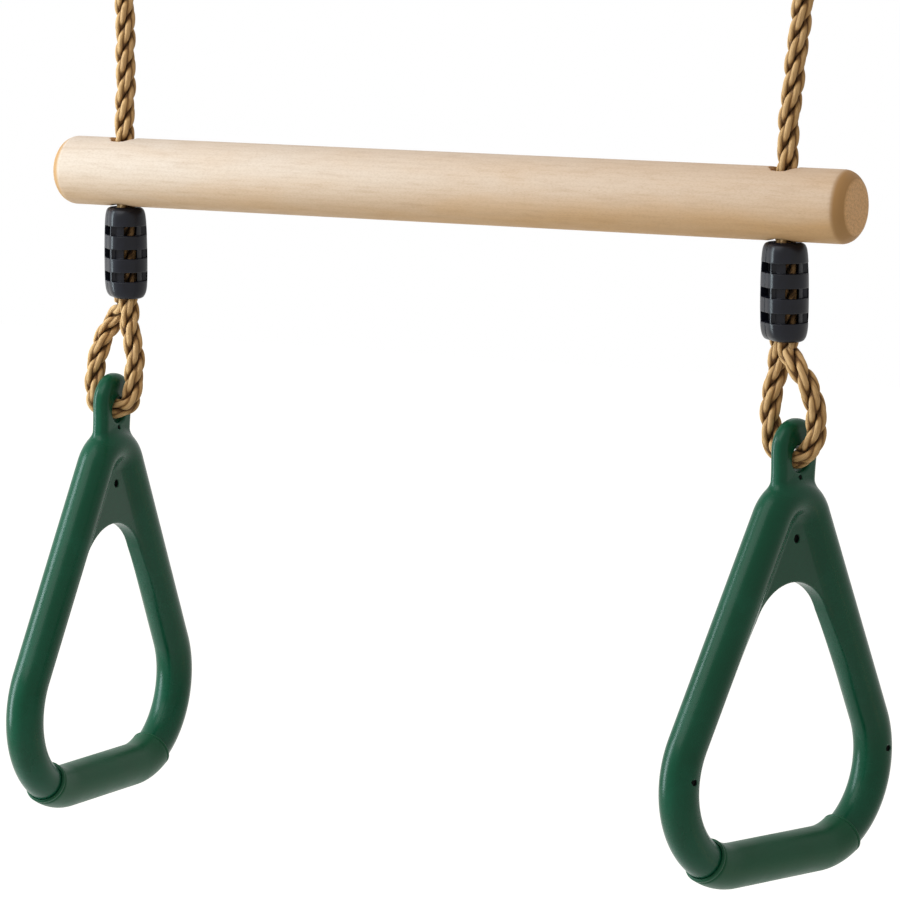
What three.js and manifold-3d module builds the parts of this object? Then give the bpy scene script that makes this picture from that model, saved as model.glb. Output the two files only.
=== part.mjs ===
// A hanging trapeze: a wooden bar carried by two laid ropes, with a triangular hand ring under each end.
// Millimetres. +X runs along the bar to its right end, +Y away from the viewer, +Z up.
// The origin lies on the line that both hanging rings swing about, above the middle of the bar.

import * as THREE from 'three';
import { mergeVertices } from 'three/addons/utils/BufferGeometryUtils.js';
import Module from 'manifold-3d';

const wasm = await Module();
wasm.setup();

// Clearances
const fitGap = 0.3; // between neighbouring pieces
const cutOverrun = 1; // how far a cut runs past the solid it goes through
const seamOverlap = 0.5; // how far the two halves of one moulding run into each other
const weldDistance = 0.0001; // corners closer than this are one corner

// Rope
const ropeDiameter = 10;
const grippedRopeDiameter = 9.6; // squeezed between a clamp's shells
const ropeSides = 12;

// Wooden bar
const barDiameter = 35;
const barLength = 450;
const barEndRound = 5.5; // rounding of the edge of each end face
const ropeHoleInset = 36; // from each end of the bar to a rope hole's centre
const ropeHoleDiameter = 13.6;
const barSides = 40;
const endRoundSteps = 4;

// Rope clamp, two shells that snap together round two stretches of rope
const clampHeight = 46.7;
const clampWidth = 20.2; // across, along the seam between the shells
const clampDepth = 24.6; // from the front shell's face to the back shell's
const clampFlatDepth = 12.4; // how much of that is the flat stretch of each side
const clampSeam = fitGap;
const clampFaceSteps = 12; // round each shell's face, from one flat side to the other
const clampWindowHeight = 4.7;
const clampWindowPitch = 11.8;
const clampFirstWindow = 9.5; // from the top of the clamp to its first window
const clampWindowCount = 3;
const faceWindowWidth = 18.6;
const faceWindowDepth = 2.4;
const peepholeWidth = 6.4;
const sideWindowWidth = 10.6;
const sideWindowDepth = 4.4;
const clampPost = 0.9; // wall between a side window and a face window
const clampThroat = 15; // how far below its top the two stretches of rope lie side by side
// height from the bottom, size across and size from front to back, as shares of the clamp's
const clampProfileShares = [
  [0, 0.66, 0.9],
  [0.022, 0.8, 0.95],
  [0.065, 0.91, 0.98],
  [0.13, 0.97, 0.995],
  [0.3, 1, 1],
  [0.62, 0.995, 0.995],
  [0.82, 0.97, 0.965],
  [0.92, 0.93, 0.92],
  [0.968, 0.87, 0.85],
  [1, 0.72, 0.69],
];

// Hand ring
const ringTubeDiameter = 19;
const ringBaseWidth = 205; // between the points where the centre lines of its sides and grip would meet
const ringPeakHeight = 192; // from the grip's centre line to where the sides' centre lines would meet
const ringBendRadius = 42;
const ringPeakRadius = 16.6;
const ringTubeSides = 16;
const bendSteps = 12;
const peakSteps = 5;
const eyeAbovePeak = 18.9; // from the top of the tube's centre line to the centre of the eye
const eyeDiameter = 13;
const eyeSides = 24;
const tabWidth = 28.8;
const tabNeckWidth = 27.6;
const tabThickness = 9;
const tabEdgeRound = 3;
const tabTopWall = 12.3; // above the eye
const tabNeckShare = 0.45; // where its neck ends, from the ring's peak to the middle of its round top
const webThickness = 8.6;
const webDepth = 40.4; // from the top of the tube's centre line down to the top of the hand opening
const webArchRadius = 31;

// Grip sleeve on the ring's lower side
const gripDiameter = 22;
const gripBendSteps = 3; // how many of a bend's steps the sleeve runs into it

// Steel ring that each rope hangs from
const steelWireDiameter = 8;
const steelRingBore = 44;
const steelWireSides = 12;
const steelRingSides = 32;

// Places above the bar's centre line
const upperClampBottom = 103.3;

// How a loop of rope lies, from a clamp's mouth to the bend: share of the loop's reach, of the half
// gap for its front leg and its back leg, of its turn and of its sideways drift
const loopHalfGap = 15;
const upperLoopShares = [
  [0, 0.33, 0.33, 0, 0],
  [0.07, 0.33, 0.33, 0, 0],
  [0.16, 0.38, 0.38, 0.1, 0.08],
  [0.28, 0.5, 0.5, 0.3, 0.24],
  [0.45, 0.74, 0.74, 0.62, 0.45],
  [0.6, 0.92, 0.92, 0.87, 0.6],
  [0.74, 1, 1, 1, 0.74],
  [0.86, 0.93, 0.93, 1, 0.86],
  [0.947, 0.69, 0.69, 1, 0.947],
  [0.99, 0.35, 0.35, 1, 0.99],
];
// where a loop's tube has its stations, closest together in the bend
const loopStationShares = [
  0, 0.07, 0.16, 0.27, 0.36, 0.41, 0.445, 0.473, 0.5, 0.527, 0.555, 0.59, 0.64, 0.73, 0.84, 0.93, 1,
];
const loopDropShare = 0.1; // of the rope's play in the eye, how far its bend lies below the eye's centre
const mainRopeSteps = 6;
const grippedRopeSteps = 8;
const ropeLead = 3.5; // straight stretch of a rope next to a clamp
const upperLoopReach = 53.5; // from an upper clamp to the middle of its loop's bend
const loopHeadroom = 38.9; // from a lower clamp to the top of the tab below it

// The two sides. The rope's route holds its x from the rope hole's centre and its z from the bar's
// centre line. What hangs off that centre does so by a share of the rope's diameter, along x or y.
// The ring's turn, and its lean across and along its plane, are in degrees.
const ropeHoleX = barLength / 2 - ropeHoleInset;
const rightHoleShift = 2; // how much nearer the middle of the bar the right rope hole is drilled
const sides = [
  {
    name: 'left',
    holeX: -ropeHoleX,
    lowerClampShare: 0,
    upperClampShare: 0.1,
    ropeRoute: [
      [-0.2, 0],
      [-0.4, 18],
      [0.1, 28],
      [0.9, 42],
      [1, 60],
      [1, 84],
    ],
    loopReachShare: 1,
    loopShares: [
      [0, 0.33, 0.33, 0, 0],
      [0.07, 0.33, 0.33, 0, 0],
      [0.16, 0.36, 0.64, 0.2, 0.08],
      [0.28, 0.47, 0.81, 0.45, 0.24],
      [0.43, 0.62, 0.84, 0.75, 0.43],
      [0.58, 0.69, 0.88, 0.92, 0.58],
      [0.73, 0.7, 0.85, 1, 0.73],
      [0.87, 0.72, 0.74, 1, 0.87],
      [0.94, 0.65, 0.65, 1, 0.94],
      [0.985, 0.38, 0.38, 1, 0.985],
    ],
    eyeShares: [-0.57, -0.56],
    ringYaw: 93.8,
    ringTilt: -1.2,
    ringLean: -2.4,
  },
  {
    name: 'right',
    holeX: ropeHoleX - rightHoleShift,
    lowerClampShare: 0.06,
    upperClampShare: 0.94,
    ropeRoute: [
      [1.2, 0],
      [1.4, 18],
      [1.9, 36],
      [3, 48],
      [4.4, 59],
      [6.4, 77],
      [8.7, 94],
    ],
    loopReachShare: 0.96,
    loopShares: [
      [0, 0.33, 0.33, 0, 0],
      [0.07, 0.33, 0.33, 0, 0],
      [0.16, 0.66, 0.38, 0.2, 0.08],
      [0.28, 0.92, 0.51, 0.45, 0.24],
      [0.43, 1.04, 0.67, 0.75, 0.43],
      [0.58, 1.08, 0.78, 0.92, 0.58],
      [0.73, 0.99, 0.82, 1, 0.73],
      [0.87, 0.8, 0.8, 1, 0.87],
      [0.94, 0.66, 0.67, 1, 0.94],
      [0.985, 0.38, 0.38, 1, 0.985],
    ],
    eyeShares: [0.63, 0.03],
    ringYaw: 78.4,
    ringTilt: -2.5,
    ringLean: -0.9,
  },
];
const lowerClampTurn = -40.5; // where the front shell of a lower clamp faces
const upperClampTurn = -90;

// Sizes worked out from those above
const barRadius = barDiameter / 2;
const ropeRadius = ropeDiameter / 2;
const strandOffset = (grippedRopeDiameter + fitGap) / 2;
const lowerClampTop = -(barRadius + fitGap);
const lowerMouth = lowerClampTop - clampHeight;
const upperMouth = upperClampBottom + clampHeight;
const loopDrop = (loopDropShare * (eyeDiameter - ropeDiameter)) / 2;
const wireSeat = (steelWireDiameter + ropeDiameter) / 2 + fitGap;
const swingHeight = upperMouth + upperLoopReach - wireSeat;
const tabAboveEye = eyeDiameter / 2 + tabTopWall;
const lowerLoopReach = loopHeadroom + tabAboveEye;
const sideSlope = Math.atan2(ringPeakHeight, ringBaseWidth / 2);
const bendAngle = Math.PI - sideSlope;
const bendSetback = ringBendRadius / Math.tan(sideSlope / 2);
const bendCentreX = ringBaseWidth / 2 - bendSetback;
const peakCentreHeight = ringPeakHeight - ringPeakRadius / Math.cos(sideSlope);
const peakHeight = peakCentreHeight + ringPeakRadius;
const eyeHeight = peakHeight + eyeAbovePeak;

const finish = {
  wood: new THREE.MeshStandardMaterial({ color: 0xdcb98f, roughness: 0.55, metalness: 0 }),
  rope: new THREE.MeshStandardMaterial({ color: 0xa9814f, roughness: 0.85, metalness: 0 }),
  clamp: new THREE.MeshStandardMaterial({ color: 0x2b2f3a, roughness: 0.45, metalness: 0 }),
  ring: new THREE.MeshStandardMaterial({ color: 0x1f5c48, roughness: 0.4, metalness: 0 }),
  steel: new THREE.MeshStandardMaterial({ color: 0xb4b8bb, roughness: 0.35, metalness: 1 }),
};

// Turns a closed geometry into a solid that can be joined and cut
function toSolid(geometry) {
  const bare = geometry.clone();
  bare.deleteAttribute('normal');
  bare.deleteAttribute('uv');
  const welded = mergeVertices(bare, weldDistance);
  const mesh = new wasm.Mesh({
    numProp: 3,
    vertProperties: new Float32Array(welded.attributes.position.array),
    triVerts: new Uint32Array(welded.index.array),
  });
  return new wasm.Manifold(mesh);
}

// Turns a solid back into a geometry
function toGeometry(solid) {
  const mesh = solid.getMesh();
  const geometry = new THREE.BufferGeometry();
  geometry.setAttribute('position', new THREE.BufferAttribute(new Float32Array(mesh.vertProperties), 3));
  geometry.setIndex(new THREE.BufferAttribute(new Uint32Array(mesh.triVerts), 1));
  geometry.computeVertexNormals();
  return geometry;
}

function named(name, geometry, material) {
  const mesh = new THREE.Mesh(geometry, material);
  mesh.name = name;
  return mesh;
}

// A path whose steps fall on chosen stations, each a point with its direction
class StationPath extends THREE.Curve {
  constructor(points, directions) {
    super();
    this.points = points;
    this.directions = directions;
  }

  get steps() {
    return this.points.length - 1;
  }

  getPointAt(share, target = new THREE.Vector3()) {
    return target.copy(this.points[Math.round(share * this.steps)]);
  }

  getPoint(share, target) {
    return this.getPointAt(share, target);
  }

  getTangentAt(share, target = new THREE.Vector3()) {
    return target.copy(this.directions[Math.round(share * this.steps)]);
  }
}

function roundSection(diameter, sideCount) {
  const section = new THREE.Shape();
  for (let i = 0; i < sideCount; i++) {
    const angle = ((i + 0.5) / sideCount) * 2 * Math.PI;
    const x = (diameter / 2) * Math.cos(angle);
    const y = (diameter / 2) * Math.sin(angle);
    if (i === 0) section.moveTo(x, y);
    else section.lineTo(x, y);
  }
  section.closePath();
  return section;
}

function tubeAlong(path, steps, diameter, sideCount) {
  return new THREE.ExtrudeGeometry(roundSection(diameter, sideCount), {
    steps,
    extrudePath: path,
    bevelEnabled: false,
    curveSegments: 1,
  });
}

function boxAt(width, depth, height, x, y, z) {
  const box = new THREE.BoxGeometry(width, depth, height);
  box.translate(x, y, z);
  return box;
}

// Wooden bar

// The bar's outline from the middle of one end face to the other's, as radius and place along it
function barOutline() {
  const outline = [new THREE.Vector2(0, -barLength / 2)];
  for (const end of [-1, 1]) {
    for (let i = 0; i <= endRoundSteps; i++) {
      const share = end < 0 ? i / endRoundSteps : 1 - i / endRoundSteps;
      const angle = (share * Math.PI) / 2;
      const radius = barRadius - barEndRound + barEndRound * Math.sin(angle);
      const along = barLength / 2 - barEndRound + barEndRound * Math.cos(angle);
      outline.push(new THREE.Vector2(radius, end * along));
    }
  }
  outline.push(new THREE.Vector2(0, barLength / 2));
  return outline;
}

function makeBar() {
  const body = new THREE.LatheGeometry(barOutline(), barSides);
  body.rotateZ(-Math.PI / 2);
  let solid = toSolid(body);
  for (const side of sides) {
    const holeLength = barDiameter + 2 * cutOverrun;
    const hole = new THREE.CylinderGeometry(ropeHoleDiameter / 2, ropeHoleDiameter / 2, holeLength, eyeSides);
    hole.rotateX(Math.PI / 2);
    hole.translate(side.holeX, 0, 0);
    solid = solid.subtract(toSolid(hole));
  }
  return named('wooden_bar', toGeometry(solid), finish.wood);
}

// Rope clamp. Its own frame has the bottom of the clamp at z 0, the seam along x and the front shell at +y.

// The clamp's outline from above: a round face on each shell and a flat stretch on each side
function clampSection(halfWidth, halfDepth) {
  const flat = (halfDepth * clampFlatDepth) / clampDepth;
  const rise = halfDepth - flat;
  const radius = (halfWidth ** 2 + rise ** 2) / (2 * rise);
  const centre = halfDepth - radius;
  const start = Math.atan2(flat - centre, halfWidth);
  const points = [];
  for (const face of [1, -1]) {
    for (let i = 0; i <= clampFaceSteps; i++) {
      const angle = start + (i / clampFaceSteps) * (Math.PI - 2 * start);
      points.push([face * radius * Math.cos(angle), face * (centre + radius * Math.sin(angle))]);
    }
  }
  return points;
}

// Stacks sections, each a list of points with its height, into a closed geometry
function stack(sections) {
  const positions = sections.flatMap(([section, z]) => section.flatMap(([x, y]) => [x, y, z]));
  const index = [];
  const count = sections[0][0].length;
  for (let level = 0; level + 1 < sections.length; level++) {
    for (let i = 0; i < count; i++) {
      const a = level * count + i;
      const b = level * count + ((i + 1) % count);
      index.push(a, b, b + count, a, b + count, a + count);
    }
  }
  const last = (sections.length - 1) * count;
  for (let i = 1; i + 1 < count; i++) {
    index.push(0, i + 1, i, last, last + i, last + i + 1);
  }
  const geometry = new THREE.BufferGeometry();
  geometry.setAttribute('position', new THREE.Float32BufferAttribute(positions, 3));
  geometry.setIndex(index);
  return geometry;
}

function clampBody() {
  return stack(
    clampProfileShares.map(([heightShare, widthShare, depthShare]) => [
      clampSection((clampWidth / 2) * widthShare, (clampDepth / 2) * depthShare),
      heightShare * clampHeight,
    ]),
  );
}

// What is left of the clamp's body behind the floors of its face windows
function clampCore() {
  const section = clampSection(clampWidth / 2 - faceWindowDepth, clampDepth / 2 - faceWindowDepth);
  return toSolid(stack([[section, 0], [section, clampHeight]]));
}

// The way of the rope that runs on through the clamp, from the mouth's back side to the middle of the top
function standingWay(bottom, top) {
  const bendTop = clampHeight - ropeRadius / 2;
  const points = [
    new THREE.Vector3(0, -strandOffset, bottom),
    new THREE.Vector3(0, -strandOffset, clampHeight - clampThroat),
    new THREE.Vector3(0, -strandOffset / 2, (clampHeight - clampThroat + bendTop) / 2),
    new THREE.Vector3(0, 0, bendTop),
    new THREE.Vector3(0, 0, top),
  ];
  return new THREE.CatmullRomCurve3(points, false, 'centripetal');
}

function standingRope() {
  return tubeAlong(standingWay(0, clampHeight), grippedRopeSteps, grippedRopeDiameter, ropeSides);
}

function tailRope() {
  const top = clampHeight - clampThroat;
  const points = [new THREE.Vector3(0, strandOffset, 0), new THREE.Vector3(0, strandOffset, top)];
  return tubeAlong(new THREE.LineCurve3(points[0], points[1]), 1, grippedRopeDiameter, ropeSides);
}

// The room for both stretches of rope inside the clamp
function clampCavity() {
  const bore = grippedRopeDiameter + 2 * fitGap;
  const way = standingWay(-cutOverrun, clampHeight + cutOverrun);
  let cavity = toSolid(tubeAlong(way, grippedRopeSteps, bore, ropeSides));
  const tailHeight = clampHeight - clampThroat + fitGap + cutOverrun;
  const tail = new THREE.CylinderGeometry(bore / 2, bore / 2, tailHeight, ropeSides);
  tail.rotateX(Math.PI / 2);
  tail.translate(0, strandOffset, tailHeight / 2 - cutOverrun);
  cavity = cavity.add(toSolid(tail));
  const valley = boxAt(bore / 2, 2 * strandOffset, tailHeight, 0, 0, tailHeight / 2 - cutOverrun);
  return cavity.add(toSolid(valley));
}

function clampWindows() {
  const core = clampCore();
  const recessStart = sideWindowWidth / 2 + clampPost;
  const recessDepth = clampDepth / 2 + cutOverrun - recessStart;
  const sideDepth = sideWindowDepth + cutOverrun;
  const sideX = clampWidth / 2 + cutOverrun - sideDepth / 2;
  const cuts = [];
  for (let i = 0; i < clampWindowCount; i++) {
    const z = clampHeight - clampFirstWindow - clampWindowHeight / 2 - i * clampWindowPitch;
    for (const end of [-1, 1]) {
      const recessY = end * (recessStart + recessDepth / 2);
      const recess = boxAt(faceWindowWidth, recessDepth, clampWindowHeight, 0, recessY, z);
      cuts.push(toSolid(recess).subtract(core));
      cuts.push(toSolid(boxAt(peepholeWidth, clampDepth / 2, clampWindowHeight, 0, (end * clampDepth) / 4, z)));
      cuts.push(toSolid(boxAt(sideDepth, sideWindowWidth, clampWindowHeight, end * sideX, 0, z)));
    }
  }
  return cuts;
}

// One shell is the half of the clamp on its own side of the seam
function makeClampShell(body, face) {
  const keepDepth = clampDepth / 2 + cutOverrun;
  const keepY = face * (clampSeam / 2 + keepDepth / 2);
  const keepHeight = clampHeight + 2 * cutOverrun;
  const keep = boxAt(clampWidth + 2 * cutOverrun, keepDepth, keepHeight, 0, keepY, clampHeight / 2);
  return toGeometry(body.intersect(toSolid(keep)));
}

function cutClampBody() {
  let body = toSolid(clampBody()).subtract(clampCavity());
  for (const cut of clampWindows()) {
    body = body.subtract(cut);
  }
  return body;
}

const clampShells = { front: makeClampShell(cutClampBody(), 1), back: makeClampShell(cutClampBody(), -1) };

// A clamp with the rope that it holds. An upper one is upside down, with its mouth on top.
function makeClamp(prefix, x, z, turn, upsideDown) {
  const group = new THREE.Group();
  for (const face of ['front', 'back']) {
    group.add(named(`${prefix}_clamp_${face}`, clampShells[face], finish.clamp));
  }
  group.add(named(`${prefix}_clamp_standing_rope`, standingRope(), finish.rope));
  group.add(named(`${prefix}_clamp_tail_rope`, tailRope(), finish.rope));
  group.position.set(x, 0, z);
  group.rotation.order = 'ZYX';
  group.rotation.z = THREE.MathUtils.degToRad(turn - 90);
  if (upsideDown) group.rotation.y = Math.PI;
  return group;
}

// Ropes and loops

function turned(degrees) {
  const angle = THREE.MathUtils.degToRad(degrees);
  return new THREE.Vector3(Math.cos(angle), Math.sin(angle), 0);
}

// A loop runs from one strand in the clamp's mouth round the bend at its reach and back to the other
function loopPath(mouth, bend, mouthDirection, bendDirection, routeShares) {
  const legs = { front: [], back: [] };
  for (const [reachShare, frontShare, backShare, turnShare, driftShare] of routeShares) {
    const centre = mouth.clone().lerp(bend, driftShare);
    centre.z = THREE.MathUtils.lerp(mouth.z, bend.z, reachShare);
    const direction = mouthDirection.clone().lerp(bendDirection, turnShare).normalize();
    legs.front.push(centre.clone().addScaledVector(direction, frontShare * loopHalfGap));
    legs.back.push(centre.clone().addScaledVector(direction, -backShare * loopHalfGap));
  }
  const points = [...legs.front, bend.clone(), ...legs.back.reverse()];
  const curve = new THREE.CatmullRomCurve3(points, false, 'centripetal');
  return new StationPath(
    loopStationShares.map((share) => curve.getPointAt(share)),
    loopStationShares.map((share) => curve.getTangentAt(share)),
  );
}

function lowerClampX(side) {
  return side.holeX + side.lowerClampShare * ropeDiameter;
}

function upperClampX(side) {
  return side.holeX + side.upperClampShare * ropeDiameter;
}

function makeMainRope(side) {
  const bottomZ = lowerClampTop + fitGap;
  const topZ = upperClampBottom - fitGap;
  const route = [
    [lowerClampX(side), bottomZ],
    [lowerClampX(side), bottomZ + ropeLead],
    ...side.ropeRoute.map(([x, z]) => [side.holeX + x, z]),
    [upperClampX(side), topZ - ropeLead],
    [upperClampX(side), topZ],
  ];
  const points = route.map(([x, z]) => new THREE.Vector3(x, 0, z));
  const path = new THREE.CatmullRomCurve3(points, false, 'centripetal');
  return named(`${side.name}_main_rope`, tubeAlong(path, mainRopeSteps, ropeDiameter, ropeSides), finish.rope);
}

function ringRotation(side) {
  const rad = THREE.MathUtils.degToRad;
  return new THREE.Euler(-rad(side.ringLean), -rad(side.ringTilt), rad(side.ringYaw), 'ZXY');
}

function eyePoint(side) {
  const [x, y] = side.eyeShares.map((share) => share * ropeDiameter);
  return new THREE.Vector3(side.holeX + x, y, lowerMouth - side.loopReachShare * lowerLoopReach);
}

function makeLowerLoop(side) {
  const mouth = new THREE.Vector3(lowerClampX(side), 0, lowerMouth - fitGap);
  const rotation = ringRotation(side);
  const up = new THREE.Vector3(0, 0, 1).applyEuler(rotation);
  const front = new THREE.Vector3(0, -1, 0).applyEuler(rotation);
  const bend = eyePoint(side).addScaledVector(up, -loopDrop);
  const path = loopPath(mouth, bend, turned(lowerClampTurn), front, side.loopShares);
  return named(`${side.name}_lower_loop`, tubeAlong(path, path.steps, ropeDiameter, ropeSides), finish.rope);
}

function makeUpperLoop(side) {
  const mouth = new THREE.Vector3(upperClampX(side), 0, upperMouth + fitGap);
  const bend = new THREE.Vector3(upperClampX(side), 0, upperMouth + upperLoopReach);
  const path = loopPath(mouth, bend, turned(upperClampTurn), turned(upperClampTurn), upperLoopShares);
  return named(`${side.name}_upper_loop`, tubeAlong(path, path.steps, ropeDiameter, ropeSides), finish.rope);
}

// Hand ring. Its own frame has the eye's centre at the origin, x across the ring, y through it and z up.
// Heights in it are taken from the grip's centre line, and moved down to that origin at the end.

// A station on the ring's bend, so many steps on from the grip
function bendStation(step, hand) {
  const angle = (step / bendSteps) * bendAngle;
  const x = bendCentreX + ringBendRadius * Math.sin(angle);
  const z = ringBendRadius - ringBendRadius * Math.cos(angle) - eyeHeight;
  return [new THREE.Vector3(hand * x, 0, z), new THREE.Vector3(hand * Math.cos(angle), 0, Math.sin(angle))];
}

// Half of the ring's centre line, from just past the middle of the grip to just past the peak
function halfRingPath(hand) {
  const start = new THREE.Vector3(-hand * seamOverlap, 0, -eyeHeight);
  const stations = [[start, new THREE.Vector3(hand, 0, 0)]];
  for (let i = 0; i <= bendSteps; i++) {
    stations.push(bendStation(i, hand));
  }
  for (let i = 0; i <= peakSteps; i++) {
    const angle = bendAngle + (i / peakSteps) * (Math.PI - bendAngle);
    const x = ringPeakRadius * Math.sin(angle);
    const z = peakCentreHeight - ringPeakRadius * Math.cos(angle) - eyeHeight;
    stations.push([
      new THREE.Vector3(hand * x, 0, z),
      new THREE.Vector3(hand * Math.cos(angle), 0, Math.sin(angle)),
    ]);
  }
  const peak = new THREE.Vector3(-hand * seamOverlap, 0, peakHeight - eyeHeight);
  stations.push([peak, new THREE.Vector3(-hand, 0, 0)]);
  return new StationPath(
    stations.map((station) => station[0]),
    stations.map((station) => station[1]),
  );
}

// Stands a flat outline up in the ring's plane, half of its thickness on each side
function standUp(geometry, thickness) {
  geometry.translate(0, -eyeHeight, -thickness / 2);
  geometry.rotateX(Math.PI / 2);
  return geometry;
}

function webPlate() {
  const archCentre = peakHeight - webDepth - webArchRadius;
  const foot = Math.PI / 2 - sideSlope;
  const reach = (ringPeakHeight - archCentre) * Math.cos(sideSlope);
  const outline = new THREE.Shape();
  outline.moveTo(reach * Math.cos(foot), archCentre + reach * Math.sin(foot));
  outline.lineTo(ringPeakRadius / 2, peakCentreHeight + ringPeakRadius / 2);
  outline.lineTo(-ringPeakRadius / 2, peakCentreHeight + ringPeakRadius / 2);
  outline.lineTo(-reach * Math.cos(foot), archCentre + reach * Math.sin(foot));
  outline.absarc(0, archCentre, webArchRadius, Math.PI - foot, foot, true);
  outline.closePath();
  const plate = new THREE.ExtrudeGeometry(outline, {
    depth: webThickness,
    bevelEnabled: false,
    curveSegments: eyeSides / 2,
  });
  return standUp(plate, webThickness);
}

function eyeTab() {
  const half = tabWidth / 2 - tabEdgeRound;
  const neck = tabNeckWidth / 2 - tabEdgeRound;
  const topCentre = eyeHeight + tabAboveEye - tabWidth / 2;
  const foot = peakHeight;
  const neckTop = foot + tabNeckShare * (topCentre - foot);
  const middle = (neckTop + topCentre) / 2;
  const outline = new THREE.Shape();
  outline.moveTo(neck, foot);
  outline.lineTo(neck, neckTop);
  outline.quadraticCurveTo(neck, middle, half, topCentre);
  outline.absarc(0, topCentre, half, 0, Math.PI, false);
  outline.quadraticCurveTo(-neck, middle, -neck, neckTop);
  outline.lineTo(-neck, foot);
  outline.closePath();
  const plate = new THREE.ExtrudeGeometry(outline, {
    depth: tabThickness - 2 * tabEdgeRound,
    bevelEnabled: true,
    bevelThickness: tabEdgeRound,
    bevelSize: tabEdgeRound,
    bevelSegments: 3,
    curveSegments: eyeSides / 2,
  });
  return standUp(plate, tabThickness - 2 * tabEdgeRound);
}

function ringFrameGeometry() {
  let solid = null;
  for (const hand of [1, -1]) {
    const path = halfRingPath(hand);
    const half = toSolid(tubeAlong(path, path.steps, ringTubeDiameter, ringTubeSides));
    solid = solid ? solid.add(half) : half;
  }
  solid = solid.add(toSolid(webPlate())).add(toSolid(eyeTab()));
  const eyeLength = tabThickness + 2 * cutOverrun;
  const eye = new THREE.CylinderGeometry(eyeDiameter / 2, eyeDiameter / 2, eyeLength, eyeSides);
  return toGeometry(solid.subtract(toSolid(eye)));
}

// The sleeve's centre line, on the same stations as the ring's
function gripPath(overrun) {
  const stations = [];
  for (const hand of [-1, 1]) {
    for (let i = 0; i <= gripBendSteps; i++) {
      const [point, direction] = bendStation(hand < 0 ? gripBendSteps - i : i, hand);
      stations.push([point, direction.multiplyScalar(hand)]);
    }
  }
  for (const [end, sign] of [[0, -1], [stations.length - 1, 1]]) {
    stations[end][0].addScaledVector(stations[end][1], sign * overrun);
  }
  return new StationPath(
    stations.map((station) => station[0]),
    stations.map((station) => station[1]),
  );
}

function gripGeometry() {
  const outer = gripPath(0);
  const inner = gripPath(cutOverrun);
  const bore = ringTubeDiameter + 2 * fitGap;
  const sleeve = toSolid(tubeAlong(outer, outer.steps, gripDiameter, ringTubeSides));
  return toGeometry(sleeve.subtract(toSolid(tubeAlong(inner, inner.steps, bore, ringTubeSides))));
}

const ringFrame = ringFrameGeometry();
const grip = gripGeometry();

function makeRing(side) {
  const group = new THREE.Group();
  group.add(named(`${side.name}_ring_frame`, ringFrame, finish.ring));
  group.add(named(`${side.name}_grip_sleeve`, grip, finish.ring));
  group.position.copy(eyePoint(side));
  group.rotation.copy(ringRotation(side));
  return group;
}

// Steel hanging ring, with its lowest wire on the swing line
function makeSteelRing(side) {
  const ringRadius = (steelRingBore + steelWireDiameter) / 2;
  const section = [];
  for (let i = 0; i <= steelWireSides; i++) {
    const angle = ((i % steelWireSides) / steelWireSides) * 2 * Math.PI;
    const radius = ringRadius + (steelWireDiameter / 2) * Math.cos(angle);
    section.push(new THREE.Vector2(radius, (steelWireDiameter / 2) * Math.sin(angle)));
  }
  const mesh = named(
    `${side.name}_hanging_ring`,
    new THREE.LatheGeometry(section, steelRingSides),
    finish.steel,
  );
  mesh.position.set(upperClampX(side), 0, swingHeight + ringRadius);
  return mesh;
}

const trapeze = new THREE.Group();
trapeze.position.z = -swingHeight;
trapeze.add(makeBar());
for (const side of sides) {
  trapeze.add(makeSteelRing(side));
  trapeze.add(makeUpperLoop(side));
  trapeze.add(makeClamp(`${side.name}_upper`, upperClampX(side), upperMouth, upperClampTurn, true));
  trapeze.add(makeMainRope(side));
  trapeze.add(makeClamp(`${side.name}_lower`, lowerClampX(side), lowerMouth, lowerClampTurn, false));
  trapeze.add(makeLowerLoop(side));
  trapeze.add(makeRing(side));
}

export default trapeze;
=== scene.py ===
"""A hanging trapeze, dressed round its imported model.

A wooden bar hangs on two laid ropes from steel rings, and a triangular plastic hand ring hangs
from a loop of rope under each end of it. Sizes in the classes are in millimetres, and every mesh
is handed to Blender in metres. X runs along the bar, +Y points away from the viewer, +Z up, and
the origin lies on the line that both steel rings swing about.
"""

from __future__ import annotations

import logging
import math
from dataclasses import dataclass, field
from enum import Enum
from itertools import pairwise
from typing import Callable

import bpy
import numpy as np
from mathutils import Matrix, Vector

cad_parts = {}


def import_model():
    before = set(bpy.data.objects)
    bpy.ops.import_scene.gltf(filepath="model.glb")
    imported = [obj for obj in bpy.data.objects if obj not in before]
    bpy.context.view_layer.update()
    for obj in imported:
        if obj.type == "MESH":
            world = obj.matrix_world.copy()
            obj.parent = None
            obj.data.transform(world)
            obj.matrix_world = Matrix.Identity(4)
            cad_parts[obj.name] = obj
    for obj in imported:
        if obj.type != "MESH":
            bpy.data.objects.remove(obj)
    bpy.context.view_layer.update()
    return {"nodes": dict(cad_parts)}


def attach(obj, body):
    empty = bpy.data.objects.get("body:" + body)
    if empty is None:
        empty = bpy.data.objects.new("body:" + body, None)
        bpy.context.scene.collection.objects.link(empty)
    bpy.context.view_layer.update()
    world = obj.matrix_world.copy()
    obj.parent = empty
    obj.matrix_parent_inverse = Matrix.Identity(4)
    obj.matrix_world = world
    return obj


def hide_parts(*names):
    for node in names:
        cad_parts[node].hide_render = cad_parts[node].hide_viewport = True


Array = np.ndarray
Field = Callable[[Array], Array]
Colour = tuple[int, int, int]
Triple = tuple[float, float, float]
Faces = list[tuple[int, ...]]
LoopRows = tuple[tuple[float, float, float, float, float], ...]
Pins = tuple[tuple[float, float, float, float], ...]
Socket = bpy.types.NodeSocket
Material = bpy.types.Material
Mesh = bpy.types.Mesh
Thing = bpy.types.Object

MM = 0.001
TURN = 2 * math.pi
WHITE = (1.0, 1.0, 1.0, 1.0)

# Height of the bar's middle line, in millimetres
BAR_HEIGHT = -194.2

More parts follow.
